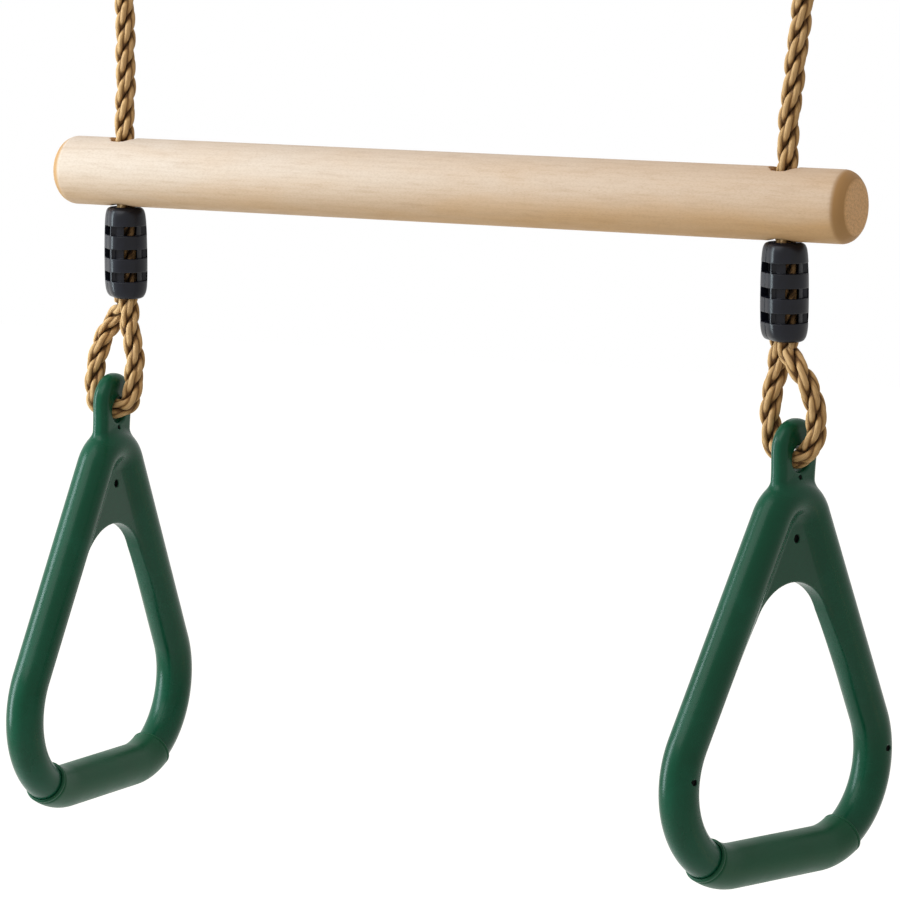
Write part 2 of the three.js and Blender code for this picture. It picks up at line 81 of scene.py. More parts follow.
# Room left round a solid when its skin is laid, in millimetres
ROOM = 1.5

# How a skin is laid: points measured in one go, then shares of a quad's size
GRID_CHUNK = 200000
SLOPE_REACH = 0.02
NORMAL_REACH = 0.15
LONGEST_MOVE = 0.4

log = logging.getLogger("trapeze")


class Hand(Enum):
    """The two ends of the trapeze, as the viewer sees them."""

    LEFT = "left"
    RIGHT = "right"


class Storey(Enum):
    """Whether a clamp sits below the bar or above it."""

    LOWER = "lower"
    UPPER = "upper"


class Shell(Enum):
    """The two halves of a rope clamp, by the way they face."""

    FRONT = 1
    BACK = -1


# Small maths


def unit(vectors: Array) -> Array:
    """Scale each vector to a length of one."""
    return vectors / np.maximum(np.linalg.norm(vectors, axis=-1, keepdims=True), 1e-12)


def smooth_step(values: Array, start: float, end: float) -> Array:
    """Rise smoothly from 0 at start to 1 at end."""
    share = np.clip((values - start) / (end - start), 0.0, 1.0)
    return share * share * (3 - 2 * share)


def turned(degrees: float) -> Array:
    """Give the level direction that many degrees round from +X."""
    angle = math.radians(degrees)
    return np.array([math.cos(angle), math.sin(angle), 0.0])


def join_round(first: Array, second: Array, radius: float) -> Array:
    """Join two distances with a fillet between them.

    Args:
        first: Signed distance to one solid.
        second: Signed distance to the other.
        radius: Radius of the fillet where they meet.

    Returns:
        Signed distance to the joined solid.
    """
    a = np.maximum(radius - first, 0)
    b = np.maximum(radius - second, 0)
    return np.maximum(radius, np.minimum(first, second)) - np.hypot(a, b)


def meet_round(first: Array, second: Array, radius: float) -> Array:
    """Keep what two solids share, with a rounded edge.

    Args:
        first: Signed distance to one solid.
        second: Signed distance to the other.
        radius: Radius of the edge where they meet.

    Returns:
        Signed distance to the shared solid.
    """
    return -join_round(-first, -second, radius)


def arc_point(centre: tuple[float, float], radius: float, angle: float) -> Array:
    """Give the point of an upright arc at an angle from straight down."""
    return np.array([centre[0] + radius * math.sin(angle), centre[1] - radius * math.cos(angle)])


def rounded_box(points: Array, centre: Array, half: Array, radius: float) -> Array:
    """Measure the distance to a box with rounded edges.

    Args:
        points: Places to measure from.
        centre: Middle of the box.
        half: Half of its size on each axis.
        radius: Radius of its edges.

    Returns:
        Signed distance to the box.
    """
    offset = np.abs(points - centre) - (half - radius)
    outside = np.linalg.norm(np.maximum(offset, 0), axis=-1)
    return outside + np.minimum(offset.max(axis=-1), 0) - radius


# Curves


def centripetal_curve(knots: Array, per_span: int = 40) -> Array:
    """Draw a centripetal Catmull-Rom curve through points.

    Args:
        knots: The points, in order.
        per_span: How many steps each span between two points gets.

    Returns:
        Points along the curve.
    """
    first = 2 * knots[0] - knots[1]
    last = 2 * knots[-1] - knots[-2]
    padded = np.vstack([first, knots, last])
    pieces = []
    for i in range(len(knots) - 1):
        p0, p1, p2, p3 = padded[i : i + 4]
        d0, d1, d2 = (max(math.sqrt(np.linalg.norm(b - a)), 1e-4) for a, b in pairwise((p0, p1, p2, p3)))
        m1 = ((p1 - p0) / d0 - (p2 - p0) / (d0 + d1) + (p2 - p1) / d1) * d1
        m2 = ((p2 - p1) / d1 - (p3 - p1) / (d1 + d2) + (p3 - p2) / d2) * d1
        t = np.linspace(0, 1, per_span, endpoint=False)[:, None]
        square, cube = 3 * (p2 - p1) - 2 * m1 - m2, 2 * (p1 - p2) + m1 + m2
        pieces.append(p1 + m1 * t + square * t**2 + cube * t**3)
    return np.vstack([*pieces, knots[-1]])


def run_along(points: Array) -> Array:
    """Give the length of a path up to each of its points."""
    return np.concatenate([[0.0], np.cumsum(np.linalg.norm(np.diff(points, axis=0), axis=1))])


def path_length(points: Array) -> float:
    """Give the whole length of a path."""
    return float(run_along(points)[-1])


def even_path(points: Array, step: float) -> Array:
    """Space a path's points evenly, about one step apart.

    Args:
        points: Points of the path.
        step: How far apart the new ones lie.

    Returns:
        The new points.
    """
    run = run_along(points)
    places = np.linspace(0, run[-1], max(2, round(run[-1] / step) + 1))
    return np.stack([np.interp(places, run, points[:, axis]) for axis in range(3)], axis=1)


def carried_frames(points: Array, start: Array) -> tuple[Array, Array, Array]:
    """Carry a frame along a path without twisting it.

    Args:
        points: Evenly spaced points of the path.
        start: The side direction at the first point.

    Returns:
        The direction, the side and the cross direction at each point.
    """
    along = unit(np.gradient(points, axis=0))
    side = np.zeros_like(points)
    side[0] = unit(start - along[0] * (start @ along[0]))
    for i in range(1, len(points)):
        carried = side[i - 1] - along[i] * (side[i - 1] @ along[i])
        side[i] = carried / np.linalg.norm(carried)
    return along, side, np.cross(along, side)


# Meshes


@dataclass
class Skin:
    """A mesh in the making, in millimetres.

    Args:
        points: One row for each corner.
        faces: Corner numbers of each face.
        uv: Place along and round the fibres for each face's corners, where the finish needs it.
        normals: Exact surface directions at the corners, where they are known.
        painted_light: How far out of the grooves each corner stands, 0 to 1, where the finish needs it, which
            it turns into painted shade in the grooves and painted highlights on the crowns.
    """

    points: Array
    faces: Faces
    uv: Array | None = None
    normals: Array | None = None
    painted_light: Array | None = None

    def placed(self, turn: Array, move: Array) -> Skin:
        """Turn the skin, then move it."""
        normals = None if self.normals is None else self.normals @ turn.T
        return Skin(self.points @ turn.T + move, self.faces, self.uv, normals, self.painted_light)

    def mesh(self, name: str, finish: Material, crease: float = 0) -> Mesh:
        """Hand the skin to Blender.

        Args:
            name: The mesh's name.
            finish: Its material.
            crease: Angle in degrees from which an edge looks sharp, or 0 for none.

        Returns:
            The mesh, in metres.
        """
        made = bpy.data.meshes.new(name)
        made.from_pydata((self.points * MM).tolist(), [], self.faces)
        made.polygons.foreach_set("use_smooth", np.ones(len(made.polygons), bool))
        if self.uv is not None:
            layer = made.uv_layers.new(name="fibre")
            layer.data.foreach_set("uv", self.uv.astype(np.float32).ravel())
        if self.painted_light is not None:
            layer = made.attributes.new("painted_light", "FLOAT", "POINT")
            layer.data.foreach_set("value", self.painted_light.astype(np.float32))
        if self.normals is not None:
            made.normals_split_custom_set_from_vertices(self.normals.tolist())
        made.validate(clean_customdata=False)
        made.materials.append(finish)
        if crease:
            made.set_sharp_from_angle(angle=math.radians(crease))
        return made


def show_mesh(name: str, mesh: Mesh) -> Thing:
    """Put a mesh in the scene under a name.

    Args:
        name: The object's name.
        mesh: Its mesh.

    Returns:
        The object.
    """
    made = bpy.data.objects.new(name, mesh)
    bpy.context.scene.collection.objects.link(made)
    return made


def joined(skins: list[Skin]) -> Skin:
    """Gather several skins into one.

    Args:
        skins: The skins.

    Returns:
        One skin, with each kind of value that all of them have.
    """
    faces: Faces = []
    start = 0
    for skin in skins:
        faces.extend(tuple(corner + start for corner in face) for face in skin.faces)
        start += len(skin.points)
    parts = []
    for values in zip(*((skin.uv, skin.normals, skin.painted_light) for skin in skins)):
        parts.append(None if any(value is None for value in values) else np.concatenate(values))
    return Skin(np.vstack([skin.points for skin in skins]), faces, *parts)


def tube_faces(rings: int, sides: int, closed: bool = True, inside_out: bool = False) -> Faces:
    """Number the quads of a tube that is built ring by ring.

    Args:
        rings: How many rings of corners it has.
        sides: How many corners each ring has.
        closed: Whether the last ring joins the first.
        inside_out: Whether the faces look to the other side.

    Returns:
        Four corner numbers for each quad.
    """
    i, j = np.divmod(np.arange((rings if closed else rings - 1) * sides), sides)
    k, m = (i + 1) % rings, (j + 1) % sides
    quads = np.stack([i * sides + j, i * sides + m, k * sides + m, k * sides + j], axis=1)
    if inside_out:
        quads = quads[:, [0, 3, 2, 1]]
    return [tuple(quad) for quad in quads.tolist()]


def spun(outline: list[tuple[float, float]], sides: int) -> Skin:
    """Spin an outline round the Z axis.

    Args:
        outline: Radius and height of each point, bottom to top on the outside.
        sides: How many steps go round.

    Returns:
        The skin, with a single corner where the outline meets the axis.
    """
    angles = np.arange(sides) / sides * TURN
    points: list[Array] = []
    rows: list[list[int]] = []
    for radius, height in outline:
        start = len(points)
        if radius < 1e-6:
            points.append(np.array([0.0, 0.0, height]))
            rows.append([start] * sides)
        else:
            points.extend(np.array([radius * math.cos(a), radius * math.sin(a), height]) for a in angles)
            rows.append(list(range(start, start + sides)))
    faces = []
    for low, high in pairwise(rows):
        for i in range(sides):
            j = (i + 1) % sides
            face = tuple(dict.fromkeys([low[i], low[j], high[j], high[i]]))
            if len(face) > 2:
                faces.append(face)
    return Skin(np.array(points), faces)


def skinned(distance: Field, low: Array, high: Array, step: float) -> Skin:
    """Lay a skin of even quads on the surface where a signed distance is zero.

    Args:
        distance: Signed distance to the solid, for rows of points.
        low: Lowest corner of the space that holds the solid.
        high: Its highest corner.
        step: Size of a quad.

    Returns:
        The skin with exact surface directions.
    """
    counts = np.ceil((high - low) / step).astype(int) + 1
    axes = [low[i] + step * np.arange(counts[i]) for i in range(3)]
    grid = np.stack(np.meshgrid(*axes, indexing="ij"), axis=-1).reshape(-1, 3)
    chunks = np.array_split(grid, 1 + len(grid) // GRID_CHUNK)
    value = np.concatenate([distance(part) for part in chunks]).reshape(counts)
    inside = value < 0
    held = np.zeros(counts - 1, int)
    corners = [np.array([i, j, k]) for i in (0, 1) for j in (0, 1) for k in (0, 1)]
    for i, j, k in corners:
        held += inside[i : counts[0] - 1 + i, j : counts[1] - 1 + j, k : counts[2] - 1 + k]
    cells = np.argwhere((held > 0) & (held < 8))
    number = np.full(counts - 1, -1)
    number[tuple(cells.T)] = np.arange(len(cells))

    total = np.zeros((len(cells), 3))
    crossings = np.zeros(len(cells))
    for axis in range(3):
        for corner in corners:
            if corner[axis]:
                continue
            first = cells + corner
            second = first.copy()
            second[:, axis] += 1
            a = value[tuple(first.T)]
            b = value[tuple(second.T)]
            crossed = (a < 0) != (b < 0)
            share = np.where(crossed, a / np.where(crossed, a - b, 1), 0)
            place = first.astype(float)
            place[:, axis] += share
            total += place * crossed[:, None]
            crossings += crossed
    points = settled(distance, low + step * total / crossings[:, None], step)
    normals = unit(slope_of(distance, points, step * NORMAL_REACH))
    return Skin(points, crossing_faces(inside, number), None, normals)


def crossing_faces(inside: Array, number: Array) -> Faces:
    """Lay a quad across every edge of a grid that goes through a surface.

    Args:
        inside: Whether each corner of the grid lies inside the solid.
        number: Number of the point in each of the grid's cells.

    Returns:
        The quads, facing outwards.
    """
    counts = inside.shape
    faces = []
    for axis in range(3):
        u, v = (axis + 1) % 3, (axis + 2) % 3
        before = [slice(None)] * 3
        after = [slice(None)] * 3
        before[axis] = slice(0, counts[axis] - 1)
        after[axis] = slice(1, counts[axis])
        first = inside[tuple(before)]
        edges = np.argwhere(first != inside[tuple(after)])
        kept = (edges[:, u] > 0) & (edges[:, v] > 0)
        kept &= (edges[:, u] < counts[u] - 1) & (edges[:, v] < counts[v] - 1)
        edges = edges[kept]
        back_u, back_v = np.eye(3, dtype=int)[[u, v]]
        ring = [edges - back_u - back_v, edges - back_v, edges, edges - back_u]
        quads = np.stack([number[tuple(cell.T)] for cell in ring], axis=1)
        outward = first[tuple(edges.T)]
        faces.append(np.where(outward[:, None], quads, quads[:, ::-1]))
    return [tuple(quad) for quad in np.vstack(faces).tolist()]


def settled(distance: Field, points: Array, step: float, rounds: int = 4, least_slope: float = 0.05) -> Array:
    """Move points onto the surface where a signed distance is zero.

    Args:
        distance: Signed distance to the solid.
        points: Points near its surface.
        step: Size of a quad.
        rounds: How often they are moved.
        least_slope: Square of the slope that a flatter place is taken to have.

    Returns:
        The moved points.
    """
    for _ in range(rounds):
        slope = slope_of(distance, points, step * SLOPE_REACH)
        size = np.maximum((slope**2).sum(axis=1), least_slope)
        move = -slope * (distance(points) / size)[:, None]
        length = np.linalg.norm(move, axis=1, keepdims=True)
        points = points + move * np.minimum(1, LONGEST_MOVE * step / np.maximum(length, 1e-9))
    return points


def slope_of(distance: Field, points: Array, reach: float) -> Array:
    """Find how a distance rises along each axis at some points.

    Args:
        distance: Signed distance to a solid.
        points: Where the slope is wanted.
        reach: How far to both sides it is taken.

    Returns:
        The slope along each axis.
    """
    slope = np.zeros_like(points)
    for axis in range(3):
        offset = np.zeros(3)
        offset[axis] = reach
        slope[:, axis] = (distance(points + offset) - distance(points - offset)) / (2 * reach)
    return slope


# Finishes


def linear(red: int, green: int, blue: int) -> tuple[float, float, float, float]:
    """Turn a colour as it is seen, 0 to 255, into Blender's linear one.

    Args:
        red: Its red.
        green: Its green.
        blue: Its blue.

    Returns:
        Linear red, green and blue, and a full alpha.
    """
    parts = []
    for value in (red, green, blue):
        share = value / 255
        parts.append(share / 12.92 if share <= 0.04045 else ((share + 0.055) / 1.055) ** 2.4)
    return (parts[0], parts[1], parts[2], 1.0)


class NodeTable:
    """A node tree under construction."""

    def __init__(self, tree: bpy.types.NodeTree) -> None:
        """Start work on a tree."""
        self.tree = tree

    def node(self, kind: str, *links: tuple[str | int, Socket], **settings: object) -> bpy.types.Node:
        """Add a node.

        Args:
            kind: Blender's name for the type of node.
            links: Input name and the socket that feeds it.
            settings: The node's own settings, or its inputs' values as in_Name.

        Returns:
            The new node.
        """
        made = self.tree.nodes.new(kind)
        for key, value in settings.items():
            if key.startswith("in_"):
                made.inputs[key[3:].replace("_", " ")].default_value = value
            else:
                setattr(made, key, value)
        for name, socket in links:
            self.tree.links.new(socket, made.inputs[name])
        return made

    def maths(self, kind: str, first: Socket | float, second: Socket | float = 0.0) -> Socket:
        """Work out a value from one or two others.

        Args:
            kind: Blender's name for the sum.
            first: The first value.
            second: The second one, where the sum takes two.

        Returns:
            The result's socket.
        """
        made = self.node("ShaderNodeMath", operation=kind)
        for i, value in enumerate((first, second)):
            if isinstance(value, (int, float)):
                made.inputs[i].default_value = value
            else:
                self.tree.links.new(value, made.inputs[i])
        return made.outputs[0]

    def seen(self) -> Socket:
        """Give 1 for the rays that look at something: camera, glossy and transmission rays.

        Returns:
            The socket with the share.
        """
        rays = self.node("ShaderNodeLightPath").outputs
        total = self.maths("MAXIMUM", rays["Is Camera Ray"], rays["Is Glossy Ray"])
        return self.maths("MAXIMUM", total, rays["Is Transmission Ray"])


class Workbench(NodeTable):
    """A material under construction: its node tree and its main shader."""

    def __init__(self, name: str) -> None:
        """Start an empty material.

        Args:
            name: The material's name.
        """
        self.material = bpy.data.materials.new(name)
        self.material.use_nodes = True
        super().__init__(self.material.node_tree)
        self.shader = self.tree.nodes["Principled BSDF"]

    def place(self) -> Socket:
        """Give the object's own coordinates, in metres."""
        return self.node("ShaderNodeTexCoord").outputs["Object"]

    def stretched(self, source: Socket, scale: Triple, move: Triple = (0, 0, 0)) -> Socket:
        """Move and scale coordinates."""
        return self.node("ShaderNodeMapping", ("Vector", source), in_Scale=scale,
                         in_Location=move).outputs["Vector"]

    def noise(self, source: Socket, scale: float, detail: float = 3.0, rough: float = 0.5,
              bend: float = 0.0) -> Socket:
        """Add soft noise, 0 to 1."""
        return self.node("ShaderNodeTexNoise", ("Vector", source), in_Scale=scale, in_Detail=detail,
                         in_Roughness=rough, in_Distortion=bend).outputs["Fac"]

    def ramp(self, source: Socket, low: float, high: float, to_low: float = 0.0,
             to_high: float = 1.0) -> Socket:
        """Spread a value over another range, held at both ends.

        Args:
            source: The value.
            low: Where the ramp starts.
            high: Where it ends.
            to_low: What it gives at the start.
            to_high: What it gives at the end.

        Returns:
            The new value's socket.
        """
        return self.node("ShaderNodeMapRange", ("Value", source), interpolation_type="SMOOTHSTEP",
                         in_From_Min=low, in_From_Max=high, in_To_Min=to_low,
                         in_To_Max=to_high).outputs["Result"]

    def streaks(self, source: Socket, scale: Triple, move: Triple = (0, 0, 0), detail: float = 3.0,
                rough: float = 0.5, bend: float = 0.0) -> Socket:
        """Add soft noise that is scaled on each axis of its own."""
        return self.noise(self.stretched(source, scale, move), 1, detail, rough, bend)

    def blend(self, share: Socket, first: Colour | Socket, second: Colour | Socket) -> Socket:
        """Mix two colours, each as it is seen or from a socket, by a share.

        Args:
            share: How much of the second colour there is.
            first: The first colour.
            second: The second colour.

        Returns:
            The mixed colour's socket.
        """
        made = self.node("ShaderNodeMix", (0, share), data_type="RGBA")
        for index, value in ((6, first), (7, second)):
            if isinstance(value, tuple):
                made.inputs[index].default_value = linear(*value)
            else:
                self.tree.links.new(value, made.inputs[index])
        return made.outputs[2]

    def bump(self, height: Socket, strength: float, depth: float, *under: tuple[str, Socket]) -> Socket:
        """Turn a height into a dent or rise of the surface, depth in metres."""
        return self.node("ShaderNodeBump", ("Height", height), *under, in_Strength=strength,
                         in_Distance=depth).outputs["Normal"]

    def feed(self, name: str, source: Socket) -> None:
        """Feed a socket of the main shader."""
        self.tree.links.new(source, self.shader.inputs[name])

    def fix(self, **values: object) -> None:
        """Set sockets of the main shader to constants."""
        for key, value in values.items():
            self.shader.inputs[key.replace("_", " ")].default_value = value


@dataclass(frozen=True)
class BeechFinish:
    """Pale fine-grained wood, sanded and sealed, its grain along X.

    Args:
        name: The material's name.
        pale: Colour of the wood at the top left, where no painted shade falls.
        tan: Colour that the wood takes to the right and lower down as painted shade, and a little as random
            tone.
        fleck: Colour of its figure, pores and growth rings.
        end_tone: Colour of the end grain.
        bevel_tone: Colour of the bevels, where the grain runs out.
        trunk_move: Puts the middle of the growth rings outside the bar, where the pith was.
    """

    name: str = "sealed_wood"
    pale: Colour = (214, 197, 182)
    tan: Colour = (202, 160, 114)
    fleck: Colour = (160, 122, 84)
    end_tone: Colour = (236, 188, 136)
    bevel_tone: Colour = (178, 136, 88)
    trunk_move: Triple = (0.0, 2.1, 24.3)

    def make(self) -> Material:
        """Build the material.

        Returns:
            The material.
        """
        bench = Workbench(self.name)
        place = bench.place()
        broad = bench.streaks(place, (14, 60, 60), rough=0.55, bend=0.4)
        figure = bench.streaks(place, (60, 420, 420), (3, 1, 2), detail=4, rough=0.6, bend=0.3)
        sand = bench.streaks(place, (700, 1500, 1500), rough=0.65)
        trunk = bench.stretched(place, (12, 100, 100), self.trunk_move)
        rings = bench.node("ShaderNodeTexWave", ("Vector", trunk), wave_type="RINGS", rings_direction="X",
                           in_Scale=1.25, in_Distortion=2.4, in_Detail=3.0, in_Detail_Scale=0.9,
                           in_Detail_Roughness=0.6).outputs["Fac"]
        # Painted shade: the wood turns tan to the right and lower down
        colour = bench.blend(self.painted_shade_and_tone_share(bench, place, broad), self.pale, self.tan)
        pores = bench.streaks(place, (150, 900, 900), (5, 7, 1), detail=2)
        for marks, low, high, most in (
            (rings, 0.45, 1.0, 0.05),
            (figure, 0.45, 0.8, 0.2),
            (sand, 0.4, 0.75, 0.2),
            (pores, 0.74, 0.8, 0.5),
        ):
            colour = bench.blend(bench.ramp(marks, low, high, 0.0, most), colour, self.fleck)
        facing = self.facing(bench)
        dots = bench.streaks(place, (300, 1300, 1300), (2, 4, 6), rough=0.6)
        end_colour = bench.blend(bench.ramp(dots, 0.35, 0.75, 0.0, 0.5), self.end_tone, self.fleck)
        end_colour = bench.blend(bench.maths("MULTIPLY", rings, 0.12), end_colour, self.fleck)
        colour = bench.blend(bench.ramp(facing, 0.1, 0.45), colour, self.bevel_tone)
        colour = bench.blend(bench.ramp(facing, 0.82, 0.97), colour, end_colour)
        bench.feed("Base Color", colour)
        bench.feed("Roughness", bench.ramp(figure, 0.3, 0.7, 0.55, 0.66))
        bench.feed("Normal", bench.bump(sand, 0.2, 0.0003))
        bench.fix(Specular_IOR_Level=0.22, Coat_Weight=0.04, Coat_Roughness=0.4)
        return bench.material

    def painted_shade_and_tone_share(self, bench: Workbench, place: Socket, broad: Socket) -> Socket:
        """Tell how tan the wood is: more to the right and lower down, which is painted shade, broken up by a
        little random tone.

        Args:
            bench: The material's bench.
            place: The bar's coordinates.
            broad: Broad noise that breaks the change up.

        Returns:
            The share's socket.
        """
        parts = bench.node("ShaderNodeSeparateXYZ", ("Vector", place))
        # Painted shade: darker to the right and darker lower down
        along = bench.ramp(parts.outputs["X"], -0.26, 0.3, 0.0, 0.48)
        down = bench.ramp(parts.outputs["Z"], -0.186, -0.212, 0.0, 0.66)
        share = bench.maths("ADD", along, down)
        return bench.maths("ADD", share, bench.ramp(broad, 0.3, 0.7, -0.06, 0.1))

    def facing(self, bench: Workbench) -> Socket:
        """Tell how far the surface faces along the grain, which shows as end grain.

        Args:
            bench: The material's bench.

        Returns:
            The socket, 0 on the side and 1 on the end.
        """
        normal = bench.node("ShaderNodeNewGeometry").outputs["Normal"]
        parts = bench.node("ShaderNodeSeparateXYZ", ("Vector", normal))
        return bench.maths("ABSOLUTE", parts.outputs["X"])


@dataclass(frozen=True)
class RopeFinish:
    """Golden laid rope of fine fibres, with painted shade in its grooves and painted highlights on its
    crowns.

    It reads the fibre coordinates, in millimetres along a strand and in turns round it, and how far
    out of the grooves each place stands, from which it paints shade in the grooves and highlights on the
    crowns.
    """

    name: str = "tan_rope"
    # groove is painted shade in the grooves; crown is a painted highlight on the crowns and also the tone of
    # the pale fibres
    groove: Colour = (88, 56, 26)
    body: Colour = (178, 136, 82)
    crown: Colour = (210, 170, 118)
    shade: Colour = (144, 104, 58)
    sheen: Colour = (230, 205, 165)

    def make(self) -> Material:
        """Build the material.

        Returns:
            The material.
        """
        bench = Workbench(self.name)
        uv = bench.node("ShaderNodeUVMap", uv_map="fibre").outputs["UV"]
        painted_light = bench.node("ShaderNodeAttribute", attribute_name="painted_light").outputs["Fac"]
        place = bench.place()
        coarse = bench.streaks(uv, (0.06, 24, 1), rough=0.6, bend=0.2)
        fine = bench.streaks(uv, (0.14, 85, 1), (3, 5, 0), rough=0.65)
        cloud = bench.noise(place, 230, 3, 0.6)
        # Painted shade in the grooves, then painted highlights on the crowns in the first row below
        colour = bench.blend(bench.ramp(painted_light, 0.02, 0.5), self.groove, self.body)
        for share, low, high, most, tone in (
            (painted_light, 0.45, 1.0, 1.0, self.crown),
            (coarse, 0.45, 0.72, 0.75, self.shade),
            (fine, 0.5, 0.72, 0.6, self.crown),
            (cloud, 0.52, 0.8, 0.3, self.shade),
        ):
            colour = bench.blend(bench.ramp(share, low, high, 0.0, most), colour, tone)
        bench.feed("Base Color", colour)
        height = bench.maths("ADD", bench.maths("MULTIPLY", coarse, 0.6), bench.maths("MULTIPLY", fine, 0.5))
        bench.feed("Normal", bench.bump(height, 0.85, 0.0005))
        bench.feed("Roughness", bench.ramp(fine, 0.3, 0.7, 0.6, 0.78))
        bench.fix(Specular_IOR_Level=0.3, Sheen_Weight=0.1, Sheen_Roughness=0.5,
                  Sheen_Tint=linear(*self.sheen))
        return bench.material


@dataclass(frozen=True)
class PlasticFinish:
    """Moulded plastic with a fine skin, faint clouds, and small scuffs.

    Args:
        name: The material's name.
        body: Colour as it is seen.
        cloud: Colour of its faint clouds.
        gloss: Roughness where it is smoothest and where it is dullest.
        skin: How strong the fine texture of the mould is.
        specular: How strongly it reflects.
        scuff: How much of it is scuffed.
    """

    name: str
    body: Colour
    cloud: Colour
    gloss: tuple[float, float]
    skin: float
    specular: float
    scuff: float

    def make(self) -> Material:
        """Build the material.

        Returns:
            The material.
        """
        bench = Workbench(self.name)
        place = bench.place()
        clouds = bench.noise(place, 45, 4, 0.6, 0.5)
        grit = bench.noise(place, 2600, 2, 0.6)
        peel = bench.noise(place, 420, 2, 0.5)
        marks = bench.streaks(place, (180, 180, 60), (1, 2, 3), detail=5, rough=0.75, bend=1.5)
        scuffs = bench.ramp(marks, 0.66, 0.74, 0.0, self.scuff)
        colour = bench.blend(bench.ramp(clouds, 0.35, 0.7), self.body, self.cloud)
        pale = tuple(min(255, round(part * 1.5 + 22)) for part in self.cloud)
        colour = bench.blend(bench.maths("MULTIPLY", scuffs, 0.5), colour, pale)
        bench.feed("Base Color", colour)
        rough = bench.ramp(clouds, 0.3, 0.7, *self.gloss)
        bench.feed("Roughness", bench.maths("ADD", rough, bench.maths("MULTIPLY", scuffs, 0.35)))
        broad_skin = bench.bump(peel, self.skin, 0.00025)
        bench.feed("Normal", bench.bump(grit, self.skin, 0.00012, ("Normal", broad_skin)))
        bench.fix(Specular_IOR_Level=self.specular)
        return bench.material


@dataclass(frozen=True)
class SteelFinish:
    """Zinc-plated steel wire with fine drawing lines and dull spots."""

    name: str = "plated_steel"
    bright: Colour = (196, 200, 204)
    dull: Colour = (150, 152, 154)

    def make(self) -> Material:
        """Build the material.

        Returns:
            The material.
        """
        bench = Workbench(self.name)
        place = bench.place()
        spots = bench.noise(place, 160, 5, 0.65, 0.6)
        lines = bench.streaks(place, (900, 2600, 900), detail=2)
        colour = bench.blend(bench.ramp(spots, 0.35, 0.7), self.bright, self.dull)
        bench.feed("Base Color", colour)
        bench.feed("Roughness", bench.ramp(spots, 0.3, 0.7, 0.26, 0.46))
        bench.feed("Normal", bench.bump(lines, 0.1, 0.0001))
        bench.fix(Metallic=1.0)
        return bench.material


@dataclass
class Finishes:
    """The finishes of the trapeze, each made once."""

    wood: Material
    rope: Material
    squeezed_rope: Material
    clamp: Material
    ring: Material
    grip: Material
    pin: Material
    steel: Material

    @classmethod
    def make(cls) -> Finishes:
        """Build every material.

        Returns:
            The finishes.
        """
        return cls(
            wood=BeechFinish().make(),
            rope=RopeFinish().make(),
            # A darker copy of the rope's finish: painted shade for the rope inside the clamps
            squeezed_rope=RopeFinish(
                "squeezed_rope", groove=(34, 22, 12), body=(104, 74, 42), crown=(150, 116, 74),
                shade=(62, 42, 22),
            ).make(),
            clamp=PlasticFinish(
                "charcoal_plastic", (12, 13, 21), (20, 22, 33), gloss=(0.3, 0.4), skin=0.14, specular=0.24,
                scuff=0.3,
            ).make(),
            ring=PlasticFinish(
                "green_plastic", (8, 71, 48), (15, 77, 55), gloss=(0.24, 0.3), skin=0.02, specular=0.15,
                scuff=0.0,
            ).make(),
            grip=PlasticFinish(
                "green_grip_plastic", (20, 76, 50), (28, 80, 56), gloss=(0.36, 0.46), skin=0.12,
                specular=0.14, scuff=0.3,
            ).make(),
            # Near-black: painted shade on the floors of the ring's pin holes
            pin=PlasticFinish(
                "painted_hole_shade", (7, 9, 8), (14, 15, 14), gloss=(0.6, 0.75), skin=0.1, specular=0.12,
                scuff=0.1,
            ).make(),
            steel=SteelFinish().make(),
        )


# Joining pieces to the model


@dataclass
class Fitter:
    """Puts each finished piece on its body and keeps count of them."""

    count: int = 0

    def fit(self, name: str, mesh: Mesh, body: str, slot: str, *nodes: str,
            spot: Matrix | None = None) -> Thing:
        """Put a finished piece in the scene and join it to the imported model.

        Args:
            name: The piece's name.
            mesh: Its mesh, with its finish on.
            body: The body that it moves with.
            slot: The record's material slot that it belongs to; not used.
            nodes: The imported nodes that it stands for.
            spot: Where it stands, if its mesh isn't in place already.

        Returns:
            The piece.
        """
        piece = show_mesh(name, mesh)
        if spot is not None:
            piece.matrix_world = spot
        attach(piece, body)
        if nodes:
            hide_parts(*nodes)
        self.count += 1
        log.info("%s rides on %s", piece.name, body)
        return piece


# Rope


